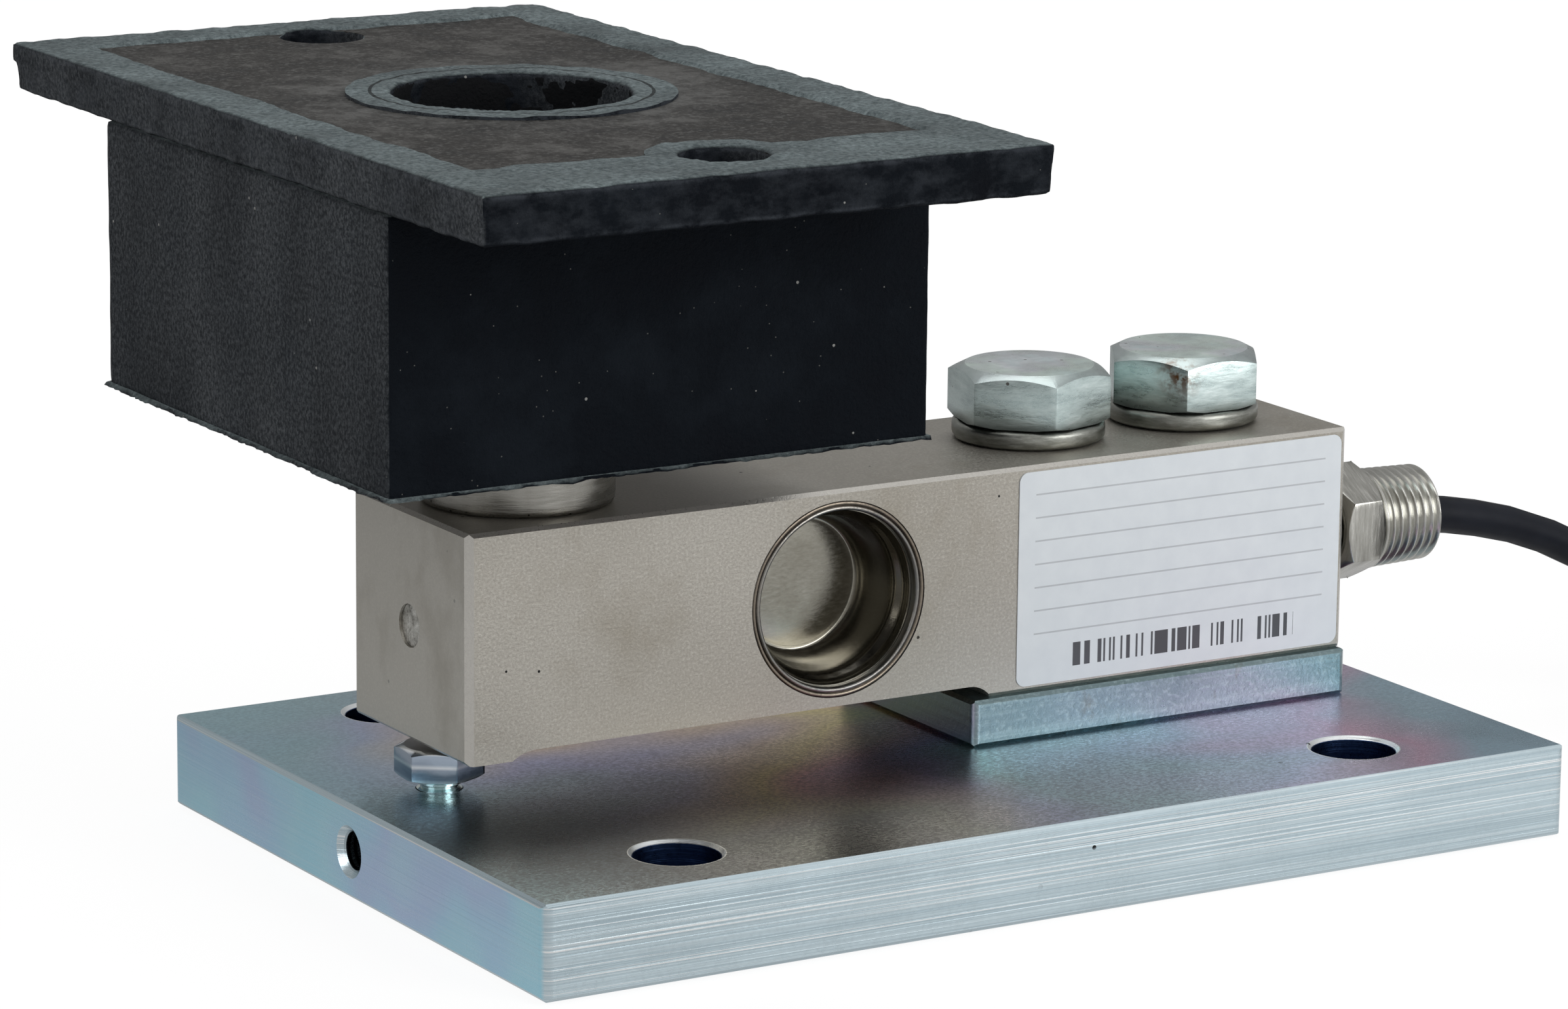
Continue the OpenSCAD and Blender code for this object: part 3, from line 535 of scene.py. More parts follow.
# Painted shade and painted light: the tapped hole in the left end is painted dark, with lighter rings for the crests
# of its thread.
earth_hole_painted_shade = below(tree, around(tree, 0, 0.0061, axes=(1, 2)), 0.0027)
earth_hole_painted_shade = times(tree, earth_hole_painted_shade, below(tree, here[0], -0.0665))
turns = calc(tree, "SINE", times(tree, here[0], 2 * math.pi / 0.0009))
skin = blend(tree, earth_hole_painted_shade, skin, stops(tree, remap(tree, turns, -1, 1), (0.3, (0.02, 0.025, 0.03)),
                                         (0.8, (0.42, 0.50, 0.54))))
colour_of(tree, shader, skin)
rough_of(tree, shader, plus(tree, remap(tree, drift, 0.3, 0.7, 0.2, 0.3),
                            times(tree, remap(tree, grain, 0.3, 0.7), 0.1)))
lay = blend(tree, is_top, plus(tree, streaks, lines), times(tree, grain, 0.5))
relief(tree, shader, lay, 0.00008, 0.4)
dress(zinc, "base_plate")

# %% [markdown]
# The spacer under the fixed end is the same plating on a bar with a sandy grain. Its finish is a steel blue with
# brown stains. A brighter line down its upright corner is a painted highlight, and its left face is painted lighter
# and bluer as painted light.

# %% Spacer finish
spacer_zinc, tree, shader = new_finish("ground_zinc", (0.5, 0.52, 0.6), 0.24, 1.0)
tint = noise(tree, object_point(tree, scale=(1, 1, 0.3)), 40, 3.0)
wave = noise(tree, object_point(tree, scale=(5, 5, 300)), 3.0, 4.0, 0.7)
sand = noise(tree, object_point(tree), 1500, 4.0, 0.7)
skin = stops(tree, tint, (0.3, (0.165, 0.23, 0.245)), (0.5, (0.185, 0.245, 0.26)), (0.65, (0.155, 0.215, 0.23)),
             (0.8, (0.225, 0.30, 0.305)))
skin = blend(tree, remap(tree, wave, 0.45, 0.75, 0.0, 0.3), skin, (0.42, 0.53, 0.53))
skin = blend(tree, remap(tree, sand, 0.5, 0.7, 0.0, 0.35), skin, (0.46, 0.57, 0.59))
stain = noise(tree, object_point(tree, scale=(1, 1, 0.5), move=(0.4, 0, 0)), 95, 5.0, 0.7)
skin = blend(tree, remap(tree, stain, 0.58, 0.68, 0.0, 0.55), skin, (0.13, 0.10, 0.06))
turned = facing(tree)
# Painted highlight: the rounded upright corners are painted lighter.
corner = times(tree, size_of(tree, turned[0]), size_of(tree, turned[1]))
skin = blend(tree, remap(tree, corner, 0.05, 0.4, 0.0, 0.7), skin, (0.50, 0.58, 0.62))
# Painted light: the left face is painted lighter and bluer.
skin = blend(tree, remap(tree, turned[0], -0.8, -0.95, 0.0, 0.8), skin, (0.24, 0.36, 0.46))
colour_of(tree, shader, skin)
rough_by(tree, shader, sand, 0.26, 0.4)
relief(tree, shader, plus(tree, wave, sand), 0.00009, 0.5)
dress(spacer_zinc, "spacer_plate")

# %% [markdown]
# ## Nickel beam
# The beam is alloy steel, ground and then plated with matte nickel. It is a warm grey with a fine even grain and a
# few tiny black pits. The ground chamfers are smoother, and their lighter colour is a painted highlight. The left
# end is painted lighter as painted light.

# %% Beam finish
nickel, tree, shader = new_finish("matte_nickel", (0.42, 0.40, 0.36), 0.42, 0.85)
point = object_point(tree)
speck = noise(tree, point, 2700, 3.0, 0.7)
cloud = noise(tree, point, 28, 3.0, 0.5)
skin = stops(tree, cloud, (0.3, (0.345, 0.325, 0.285)), (0.55, (0.40, 0.38, 0.34)), (0.75, (0.45, 0.43, 0.39)))
skin = blend(tree, remap(tree, speck, 0.32, 0.62, 0.5, 0.0), skin, (0.21, 0.195, 0.17))
skin = blend(tree, remap(tree, speck, 0.56, 0.70, 0.0, 0.22), skin, (0.62, 0.60, 0.56))
rare = above(tree, noise(tree, point, 75, 2.0), 0.56)
pit = times(tree, below(tree, cells(tree, point, 260.0), 0.06), rare)
skin = blend(tree, pit, skin, (0.02, 0.02, 0.02))
turned = facing(tree)
widest = calc(tree, "MAXIMUM", size_of(tree, turned[1]), size_of(tree, turned[2]))
widest = calc(tree, "MAXIMUM", size_of(tree, turned[0]), widest)
ground = remap(tree, widest, 0.93, 0.85)
# Painted light: the left end of the beam is painted lighter.
skin = blend(tree, remap(tree, turned[0], -0.9, -0.97, 0.0, 0.45), skin, (0.78, 0.76, 0.70))
smudge = noise(tree, object_point(tree, scale=(1, 1, 0.7), move=(0.05, 0, 0.02)), 75, 4.0, 0.6)
skin = blend(tree, remap(tree, smudge, 0.52, 0.72, 0.0, 0.35), skin, (0.20, 0.17, 0.12))
# Painted highlight: the chamfers are painted lighter; their lower roughness below is the ground finish.
skin = blend(tree, times(tree, ground, 0.7), skin, (0.66, 0.64, 0.60))
colour_of(tree, shader, skin)
rough_of(tree, shader, minus(tree, remap(tree, speck, 0.3, 0.7, 0.4, 0.52), times(tree, ground, 0.15)))
relief(tree, shader, minus(tree, speck, times(tree, pit, 2.0)), 0.00006, 0.55)
dress(nickel, "beam_body")

filler, tree, shader = new_finish("rough_filling", (0.5, 0.49, 0.46), 0.4, 0.9)
lumps = noise(tree, object_point(tree), 700, 4.0, 0.7)
colour_of(tree, shader, stops(tree, lumps, (0.35, (0.20, 0.19, 0.17)), (0.55, (0.55, 0.54, 0.50)),
                              (0.75, (0.82, 0.81, 0.77))))
relief(tree, shader, lumps, 0.0004, 0.9)
dress(filler, "end_plug")

# %% [markdown]
# ## The sealed pocket
# A thin cup is pressed from stainless sheet and set into each pocket to seal the gauges. A weld ring closes its
# rim. Both are turned here from their outlines, because the curve of the cup's wall is what catches the light.

# %% Cup and weld ring
GAUGE_X, GAUGE_Z, FACE_Y, BEAM_Y = -12.9, 34.2, 15.5, 1.8
BEAM_TOP, LEFT_BOLT_X, RIGHT_BOLT_X = 48.6, 25.7, 50.3
cup_outline = [
    (12.1, 1.55), (12.1, 1.17), (11.45, 1.15), (11.32, 1.3), (11.3, 1.85), (11.22, 2.2), (10.95, 2.65),
    (10.6, 3.05), (10.35, 3.5), (10.22, 4.1), (10.15, 5.0), (10.12, 6.4), (10.05, 7.6), (9.9, 8.6),
    (9.62, 9.45), (9.3, 10.05), (9.0, 10.42), (8.8, 10.6), (8.62, 10.66), (8.4, 10.6), (8.0, 10.52),
    (5.0, 10.5), (0.0, 10.48)]
ring_outline = [
    (12.86, 1.1), (12.88, 0.22), (12.84, 0.08), (12.72, -0.02), (12.56, -0.06), (12.42, -0.02), (12.32, 0.1),
    (12.26, 0.16), (12.18, 0.06), (12.06, -0.04), (11.9, -0.08), (11.76, -0.02), (11.66, 0.1), (11.6, 0.3),
    (11.6, 1.1)]
steel, tree, shader = new_finish("pressed_stainless", (0.4, 0.39, 0.35), 0.2, 1.0)
streak = noise(tree, object_point(tree, scale=(1, 1, 3), turn=(0, 0.5, 0)), 900, 4.0, 0.7)
cloud = noise(tree, object_point(tree), 110, 3.0)
skin = stops(tree, streak, (0.3, (0.25, 0.24, 0.205)), (0.6, (0.32, 0.31, 0.27)), (0.8, (0.39, 0.38, 0.335)))
skin = blend(tree, remap(tree, cloud, 0.45, 0.75, 0.0, 0.4), skin, (0.16, 0.145, 0.11))
# Painted shade: the right wall of the cup, which faces left, is painted dark brown.
wall = facing(tree)
skin = blend(tree, times(tree, remap(tree, wall[0], 0.0, -0.7), 0.85), skin, (0.075, 0.066, 0.05))
colour_of(tree, shader, skin)
rough_by(tree, shader, streak, 0.14, 0.26)
relief(tree, shader, streak, 0.00004, 0.35)
weld_tint_and_shade, tree, shader = new_finish("weld_tint_and_groove_shade", (0.4, 0.36, 0.31), 0.3, 1.0)
r = around(tree, GAUGE_X * mm, GAUGE_Z * mm, axes=(0, 2))
ripple = noise(tree, object_point(tree), 420, 4.0, 0.6)
# Heat tint with painted light and shade: the groove between the two beads and the outer edge are painted dark, the
# bead crowns lighter.
skin = stops(tree, remap(tree, r, 0.0116, 0.0129), (0.0, (0.15, 0.155, 0.155)), (0.35, (0.25, 0.245, 0.225)),
             (0.5, (0.05, 0.045, 0.04)), (0.72, (0.24, 0.205, 0.16)), (0.95, (0.025, 0.022, 0.02)))
skin = blend(tree, remap(tree, ripple, 0.4, 0.7, 0.0, 0.4), skin, (0.24, 0.20, 0.17))
colour_of(tree, shader, skin)
relief(tree, shader, ripple, 0.0002, 0.6)
for name, way in (("front", -1), ("back", 1)):
    for part, outline, finish, slot in (("cup", cup_outline, steel, "cup_steel"),
                                        ("weld_ring", ring_outline, weld_tint_and_shade, "weld")):
        piece = lathe(name + "_sealing_" + part, outline, 160)
        turn = Matrix.Rotation(math.radians(90 * way), 4, "X")
        place(piece, Matrix.Translation(Vector((GAUGE_X, BEAM_Y + way * FACE_Y, GAUGE_Z)) * mm) @ turn)
        smooth(tidy_shell(piece), 50)
        fit(piece, "module", slot, finish, name + ("_cup" if part == "cup" else "_weld_ring"))

# %% [markdown]
# ## Bolts
# The two mounting bolts are M12 with a 19 mm hexagon. A head starts as a six-sided cylinder. A cone turned on
# a lathe and joined by a Boolean takes off its upper corners, which leaves the arcs that every real head has.
# A small bevel then takes the sharpness off each edge.

# %% Hexagon bolts
def hex_bolt(name, thread, flats, high, length, turn, x, y, seat):
    corner = flats / math.sqrt(3)
    head = rod(name, corner, 0, high, 0, 0, sides=6)
    place(head, Matrix.Rotation(math.radians(turn + 90), 4, "Z"))
    k = flats / 19
    low_r, wide, peak = flats / 2 + 0.35 * k, corner + 0.3, high + 0.85 * k
    cone = lathe("cone", [(0, -1), (0.5, -1), (low_r, -1), (low_r, 0), (wide, 0.62 * k),
                          (wide, high - 1.42 * k), (flats / 2 - 0.95 * k, high), (flats / 2 - 2.5 * k, peak),
                          (0, peak)], 96)
    cut(head, cone, "INTERSECT")
    soften(head, 0.13 * k * mm, 2, 20)
    thick = thread / 2
    shank = lathe("shank", [(0, -length), (thick - 1, -length), (thick, 1 - length), (thick, 0.05), (0, 0.05)],
                  48)
    join(head, shank)
    place(head, Matrix.Translation(Vector((x, y, seat)) * mm))
    return smooth(head, 19)


bolt_zinc, tree, shader = new_finish("scuffed_bolt_zinc", (0.62, 0.67, 0.67), 0.3, 1.0)
point = object_point(tree)
scuff = noise(tree, object_point(tree, scale=(1, 1, 4)), 170, 6.0, 0.72)
film = noise(tree, point, 90, 2.0)
skin = stops(tree, scuff, (0.3, (0.36, 0.44, 0.44)), (0.48, (0.54, 0.64, 0.63)), (0.6, (0.64, 0.74, 0.73)),
             (0.78, (0.84, 0.90, 0.89)))
# Passivation tint and painted light: the top faces of the heads are painted lighter.
top = remap(tree, facing(tree)[2], 0.8, 0.98)
painted_top_sheen = stops(tree, film, (0.3, (0.66, 0.84, 0.84)), (0.5, (0.80, 0.92, 0.84)), (0.62, (0.80, 0.80, 0.86)),
              (0.75, (0.66, 0.84, 0.86)))
skin = blend(tree, times(tree, top, 0.6), skin, painted_top_sheen)
here = xyz(tree, point)
# Painted shade: the chamfer cone round the top of each head is painted darker.
cone_face_painted_shade = times(tree, remap(tree, facing(tree)[2], 0.15, 0.3), remap(tree, facing(tree)[2], 0.97, 0.9))
skin = blend(tree, times(tree, cone_face_painted_shade, 0.6), skin, (0.34, 0.38, 0.38))
# Painted shade: the foot of each head, where it sits on the washer, is painted dark.
skin = blend(tree, remap(tree, here[2], 0.0512, 0.0528, 0.8, 0.0), skin, (0.10, 0.12, 0.12))
rust_at = add(tree, "VectorMath", {0: point, 1: (0.0434, -0.0068, 0.0566)},
              operation="DISTANCE").outputs["Value"]
rust = times(tree, remap(tree, rust_at, 0.0042, 0.0008), remap(tree, noise(tree, point, 900, 4.0), 0.42, 0.6))
skin = blend(tree, rust, skin, (0.15, 0.07, 0.03))
nicks = cells(tree, point, 420.0)
skin = blend(tree, times(tree, below(tree, nicks, 0.1), above(tree, film, 0.5)), skin, (0.16, 0.16, 0.15))
colour_of(tree, shader, skin)
rough_by(tree, shader, scuff, 0.2, 0.42)
relief(tree, shader, scuff, 0.00012, 0.5)
bolt_seat = 51.3
for name, x, turn in (("left", LEFT_BOLT_X, 16.2), ("right", RIGHT_BOLT_X, -1.1)):
    bolt = hex_bolt(name + "_mounting_bolt", 12, 19, 7.2, bolt_seat - 1.4, turn, x, BEAM_Y, bolt_seat)
    fit(bolt, "module", "bolt_zinc", bolt_zinc, "mounting_bolt_" + name)

# %% [markdown]
# ## Lock washers
# A split lock washer is one turn of a heavy spring. The Screw modifier winds a rounded bar almost once round and
# lifts its end a little, and the two open ends are then filled.

# %% Lock washers
def lock_washer(name, x, y, seat, split):
    bpy.ops.mesh.primitive_plane_add(size=1, location=(0, 0, 0), rotation=(math.pi / 2, 0, 0))
    ring = newest(name)
    ring.scale = (3.95 * mm, 2.42 * mm, 1)
    settle(ring)
    place(ring, Matrix.Translation(Vector((8.2 * mm, 0, 1.25 * mm))))
    edit()
    bpy.ops.mesh.bevel(offset=0.75 * mm, segments=4, affect="VERTICES")
    bpy.ops.mesh.delete(type="ONLY_FACE")
    leave_edit()
    wind = ring.modifiers.new("wind", "SCREW")
    wind.angle, wind.screw_offset, wind.steps, wind.render_steps = math.radians(353), 0.22 * mm, 120, 120
    apply_all(ring)
    edit("DESELECT")
    bpy.ops.mesh.select_mode(type="EDGE")
    bpy.ops.mesh.select_non_manifold()
    bpy.ops.mesh.fill()
    bpy.ops.mesh.select_mode(type="VERT")
    leave_edit()
    tidy_shell(ring)
    place(ring, Matrix.Translation(Vector((x, y, seat)) * mm) @ Matrix.Rotation(math.radians(split), 4, "Z"))
    return smooth(ring, 45)


galvanised, tree, shader = new_finish("galvanised_washer", (0.48, 0.48, 0.44), 0.36, 1.0)
grain = noise(tree, object_point(tree, scale=(1, 1, 5)), 330, 5.0, 0.7)
skin = stops(tree, grain, (0.3, (0.17, 0.175, 0.155)), (0.55, (0.27, 0.275, 0.25)), (0.8, (0.44, 0.45, 0.42)))
colour_of(tree, shader, skin)
rough_by(tree, shader, grain, 0.28, 0.46)
relief(tree, shader, grain, 0.0001, 0.5)
for name, x, split in (("left", LEFT_BOLT_X, 165), ("right", RIGHT_BOLT_X, 60)):
    washer = lock_washer(name + "_lock_washer", x, BEAM_Y, BEAM_TOP, split)
    fit(washer, "module", "washer", galvanised, "lock_washer_" + name)

# %% [markdown]
# ## Stop screw
# The small screw under the free end stops the beam when it is overloaded. It has a 10 mm hexagon, a flared
# neck, and the first ring of its thread shows above the plate.

# %% Stop screw
stop = hex_bolt("stop_screw_m6", 4.9, 10, 4.0, 12.8, 25.3, 0, 0, 0)
rings = [(2.3, -12.5)]
for k in range(12):
    z = k - 11.82
    rings += [(2.5, z - 0.42), (2.93, z - 0.12), (2.93, z + 0.12), (2.5, z + 0.42)]
rings += [(2.62, -0.3), (2.78, -0.16), (2.92, -0.08), (3.4, -0.04), (4.3, 0.02), (2.3, 0.1)]
thread = lathe("thread", rings, 96)
join(stop, thread)
place(stop, Matrix.Translation(Vector((-62.4, BEAM_Y, 14.0)) * mm))
smooth(stop, 24)
bright, tree, shader = new_finish("bright_stop_zinc", (0.62, 0.64, 0.66), 0.16, 1.0)
band = noise(tree, object_point(tree, scale=(1, 1, 9)), 120, 3.0)
# Painted light and shade: bands of the neck and head are painted dark and bright by height.
painted_light_bands = remap(tree, xyz(tree, object_point(tree))[2], 0.0120, 0.0180)
skin = stops(tree, painted_light_bands, (0.0, (0.60, 0.70, 0.68)), (0.3, (0.62, 0.70, 0.68)), (0.36, (0.60, 0.66, 0.70)),
             (0.42, (0.22, 0.27, 0.34)), (0.62, (0.27, 0.32, 0.40)), (0.68, (0.80, 0.83, 0.86)),
             (0.75, (0.30, 0.36, 0.45)), (0.93, (0.36, 0.42, 0.50)), (0.97, (0.92, 0.94, 0.95)))
skin = blend(tree, remap(tree, band, 0.35, 0.65, 0.0, 0.5), skin, (0.42, 0.50, 0.58))
colour_of(tree, shader, skin)
rough_by(tree, shader, band, 0.1, 0.24)
relief(tree, shader, noise(tree, object_point(tree), 800), 0.00005, 0.3)
fit(stop, "stop", "bolt_zinc", bright, "stop_screw")

# %% [markdown]
# ## Load pad and cable fitting
# Both are turned. The pad is a short steel drum between the beam and the rubber. The fitting has a neck, a
# hexagon for the spanner and a quarter-inch taper thread, whose ridges are turned in one outline.

# %% Load pad
pad = lathe("load_pad_drum", (
    (6.5, 0), (11.7, 0), (12.1, 0.12), (12.35, 0.45), (12.4, 0.8), (12.4, 10.6), (12.3, 11.0), (12.0, 11.3),
    (6.5, 11.3), (6.5, 0)), 160)
place(pad, Matrix.Translation(Vector((-51.2, BEAM_Y, BEAM_TOP)) * mm))
smooth(tidy_shell(pad), 40)
pad_steel, tree, shader = new_finish("turned_pad_steel", (0.46, 0.44, 0.40), 0.26, 1.0)
lines = noise(tree, object_point(tree, scale=(1, 1, 14)), 160, 5.0, 0.7)
blotch = noise(tree, object_point(tree, scale=(5, 5, 1)), 30, 3.0)
skin = stops(tree, lines, (0.3, (0.23, 0.225, 0.20)), (0.6, (0.33, 0.32, 0.295)), (0.8, (0.44, 0.43, 0.40)))
skin = blend(tree, remap(tree, blotch, 0.45, 0.7, 0.0, 0.4), skin, (0.16, 0.15, 0.135))
specks = cells(tree, object_point(tree), 520.0)
skin = blend(tree, below(tree, specks, 0.085), skin, (0.03, 0.03, 0.03))
colour_of(tree, shader, skin)
rough_by(tree, shader, lines, 0.2, 0.36)
relief(tree, shader, lines, 0.00006, 0.5)
fit(pad, "module", "pad_steel", pad_steel, "load_pad")

# %% Cable fitting
thread_outline = []
for k in range(7):
    z = 14.2 + 1.41 * k * 0.93
    r = 6.85 - (z - 13.8) / 32
    thread_outline += [(r - 0.85, z), (r - 0.12, z + 0.42), (r, z + 0.55), (r, z + 0.68), (r - 0.12, z + 0.8)]
fitting = lathe("cable_fitting_body", [
    (3.8, -3.7), (6.0, -3.7), (6.0, 6.4), (5.4, 6.6), (5.4, 6.8), (5.4, 13.2), (6.75, 13.2), (6.95, 13.35),
    (6.95, 13.75), (6.8, 13.9)]
    + thread_outline + [(5.5, 23.05), (4.9, 23.45), (4.3, 23.5), (3.85, 23.2), (3.8, 22.6), (3.8, -3.7)], 96)
nut = rod("nut", 14.2 / math.sqrt(3), 6.6, 13.2, 0, 0, sides=6)
place(nut, Matrix.Rotation(math.radians(90), 4, "Z"))
nut_cone = lathe("nut_cone", (
    (0, 6.5), (6.5, 6.5), (6.7, 6.6), (8.4, 7.9), (8.4, 11.9), (6.9, 13.2), (6.8, 13.3), (0, 13.3)), 96)
cut(nut, nut_cone, "INTERSECT")
soften(nut, 0.15 * mm, 2, 25)
join(fitting, nut)
place(fitting, Matrix.Translation(Vector((66.7, BEAM_Y,
                                          31.4)) * mm) @ Matrix.Rotation(math.radians(90), 4, "Y"))
smooth(tidy_shell(fitting), 32)
turned_steel, tree, shader = new_finish("turned_stainless", (0.6, 0.58, 0.54), 0.22, 1.0)
cuts = noise(tree, object_point(tree, scale=(9, 1, 1)), 170, 5.0, 0.7)
skin = stops(tree, cuts, (0.3, (0.28, 0.275, 0.25)), (0.55, (0.42, 0.415, 0.385)), (0.8, (0.66, 0.655, 0.62)))
# Painted highlight: the thread and the end beyond the collar are painted lighter.
along = xyz(tree, object_point(tree))[0]
skin = blend(tree, remap(tree, along, 0.0802, 0.0806, 0.0, 0.22), skin, (0.86, 0.86, 0.82))
colour_of(tree, shader, skin)
rough_by(tree, shader, cuts, 0.14, 0.3)
relief(tree, shader, cuts, 0.00006, 0.4)
fit(fitting, "module", "fitting_steel", turned_steel, "cable_fitting")

# %% [markdown]
# ## The rubber mount
# The block and its flange are one moulding. Moulded rubber has edges that are nearly sharp and never quite
# straight, so each part starts as a cut slab, is rebuilt from small even cells, and is then moved a few
# hundredths of a millimetre by a cloud pattern. The upper steel plate shows through a window with a ragged rim.

# %% Rubber shapes
MOUNT_X = -52.0
MOUNT = (MOUNT_X * mm, BEAM_Y * mm)
BORE_R, BLOCK_FOOT, FLANGE_FOOT, HOLE_Y = 14.85, 59.9, 94.3, 52.1
random.seed(7)


def moulded(piece, cell, amount, grain_size):
    remesh = piece.modifiers.new("cells", "REMESH")
    remesh.mode, remesh.voxel_size, remesh.adaptivity = "VOXEL", cell * mm, 0.0
    apply_all(piece)
    cloud = bpy.data.textures.new(piece.name + "_cloud", "CLOUDS")
    cloud.noise_scale = grain_size * mm
    move = piece.modifiers.new("uneven", "DISPLACE")
    move.texture, move.strength, move.mid_level, move.texture_coords = cloud, amount * mm, 0.6, "LOCAL"
    apply_all(piece)
    return smooth(piece, 60)


block = slab("rubber_mount_block", (75.2, 77.3, 34.5), (MOUNT_X, BEAM_Y, 77.1))
cut(block, rod("bore", BORE_R, 50, 100, MOUNT_X, BEAM_Y))
cut(block, slab("seat", (62, 62, 10), (MOUNT_X, BEAM_Y, BLOCK_FOOT)))
moulded(block, 0.75, 0.3, 6)
print(block.name, len(block.data.polygons), "faces")

# %% Torn flash round the block's lower edge
half_x, half_y = 37.7, 38.75


def uneven(a, b):
    return max(0.0, mathutils.noise.noise(Vector((a, b, 0))))


corners = [(-half_x, -half_y), (half_x, -half_y), (half_x, half_y), (-half_x, half_y)]
fringe = bmesh.new()
rim = []
for k, (x0, y0) in enumerate(corners):
    x1, y1 = corners[(k + 1) % 4]
    out_x, out_y = (0, -1) if k == 0 else (1, 0) if k == 1 else (0, 1) if k == 2 else (-1, 0)
    for step in range(110):
        t = step / 110
        tear = 0.18 + 0.75 * uneven(k * 9.1 + t * 12, 1.3) + random.uniform(0, 0.28)
        sag = 0.05 + 0.4 * uneven(k * 5.7 + t * 17, 4.1) + random.uniform(0, 0.12)
        x, y = MOUNT_X + x0 + (x1 - x0) * t, BEAM_Y + y0 + (y1 - y0) * t
        rim.append([fringe.verts.new(Vector(p) * mm) for p in (
            (x - out_x * 0.6, y - out_y * 0.6, 60.35), (x + out_x * 0.12, y + out_y * 0.12, 60.25),
            (x + out_x * tear, y + out_y * tear, 60.0 - sag), (x - out_x * 0.6, y - out_y * 0.6, 59.86))])
for a, b in zip(rim, rim[1:] + rim[:1]):
    for k in range(4):
        fringe.faces.new((a[k], b[k], b[(k + 1) % 4], a[(k + 1) % 4]))
fringe_mesh = bpy.data.meshes.new("torn_flash")
fringe.to_mesh(fringe_mesh)
fringe.free()
flash = bpy.data.objects.new("torn_flash", fringe_mesh)
bpy.context.collection.objects.link(flash)
only(flash)
edit()
bpy.ops.mesh.normals_make_consistent(inside=False)
leave_edit()
print(flash.name, len(flash.data.polygons), "faces")
join(block, flash)
smooth(block, 60)

flange = slab("rubber_mount_flange", (77.6, 128.8, 6.4), (MOUNT_X, BEAM_Y, 97.5))
only(flange)
bpy.ops.object.mode_set(mode="EDIT")
mesh = bmesh.from_edit_mesh(flange.data)
for face in mesh.faces:
    face.select = face.normal.z < -0.5
bpy.ops.transform.resize(value=((77.6 - 1) / 77.6, (128.8 - 1) / 128.8, 1),
                         center_override=(*MOUNT, FLANGE_FOOT * mm))
leave_edit()
cut(flange, rod("bore", BORE_R, 90, 105, MOUNT_X, BEAM_Y))
for way in (-1, 1):
    cut(flange, rod("hole", 5.36, 90, 105, MOUNT_X, BEAM_Y + way * HOLE_Y, 64))
moulded(flange, 0.6, 0.5, 3.6)

WINDOW_X, WINDOW_Y = (MOUNT_X - 0.3) * mm, (BEAM_Y + 4.2) * mm
bpy.ops.mesh.primitive_grid_add(x_subdivisions=56, y_subdivisions=92, size=1,
                                location=(WINDOW_X, WINDOW_Y, 100.2 * mm))
window = newest("window")
window.scale = (61.4 * mm, 104.4 * mm, 1)
settle(window)
for v in window.data.vertices:
    wander = mathutils.noise.noise(v.co * 160) * 0.9 + mathutils.noise.noise(v.co * 700) * 0.35
    if abs(v.co.x - WINDOW_X) > 30.6 * mm:
        v.co.x += wander * mm
    if abs(v.co.y - WINDOW_Y) > 52.1 * mm:
        v.co.y += wander * mm
edit()
bpy.ops.mesh.extrude_region_move(TRANSFORM_OT_translate={"value": (0, 0, 1.2 * mm)})
bpy.ops.transform.resize(value=(1.06, 1.035, 1), center_override=(WINDOW_X, WINDOW_Y, 101.4 * mm))
leave_edit()
tidy_shell(window)
cut(window, rod("collar", 20.7, 99, 104, MOUNT_X, BEAM_Y))
cut(window, rod("lug", 9.4, 99, 104, MOUNT_X, BEAM_Y - HOLE_Y, 64))
cut(flange, window)
smooth(flange, 60)

# %% [markdown]
# The rubber is almost black. Dust greys what faces up, the left side is painted lighter as painted light, and small
# white specks and scratches sit in the skin. Lumps and edges on the sides of the flange carry a painted highlight,
# and the bore is painted one flat dark tone as painted shade. The collar round the bore keeps the fine ring of its
# mould.

# %% Rubber finish
rubber, tree, shader = new_finish("dusty_rubber", (0.018, 0.02, 0.023), 0.62)
dull(shader, 0.06)
point = object_point(tree)
turned = facing(tree)
cloud = noise(tree, point, 70, 5.0, 0.65)
grit = noise(tree, point, 1300, 4.0, 0.7)
skin = stops(tree, cloud, (0.3, (0.0012, 0.0022, 0.0045)), (0.5, (0.0026, 0.0042, 0.0068)),
             (0.68, (0.0062, 0.0086, 0.0122)))
height = xyz(tree, point)[2]
# Painted highlight: lumps and the top and bottom edges on the flange's upright sides are painted lighter.
edge_z = size_of(tree, minus(tree, size_of(tree, minus(tree, height, 0.0975)), 0.0031))
lump = noise(tree, object_point(tree, scale=(1, 1, 1.6)), 230, 5.0, 0.7)
lump_and_edge_highlight = plus(tree, remap(tree, lump, 0.42, 0.66, 0.0, 0.5),
               times(tree, remap(tree, edge_z, 0.0009, 0.0001), remap(tree, lump, 0.38, 0.56)))
upright_side = remap(tree, size_of(tree, turned[2]), 0.7, 0.4)
lump_and_edge_highlight = times(tree, lump_and_edge_highlight, times(tree, upright_side, remap(tree, height, 0.0936, 0.0941)))
skin = blend(tree, lump_and_edge_highlight, skin, (0.034, 0.039, 0.047))
up = remap(tree, turned[2], 0.55, 0.95)
dust = times(tree, up, remap(tree, cloud, 0.3, 0.62, 0.5, 1.0))
skin = blend(tree, dust, skin, stops(tree, grit, (0.35, (0.095, 0.118, 0.124)), (0.65, (0.26, 0.31, 0.318))))
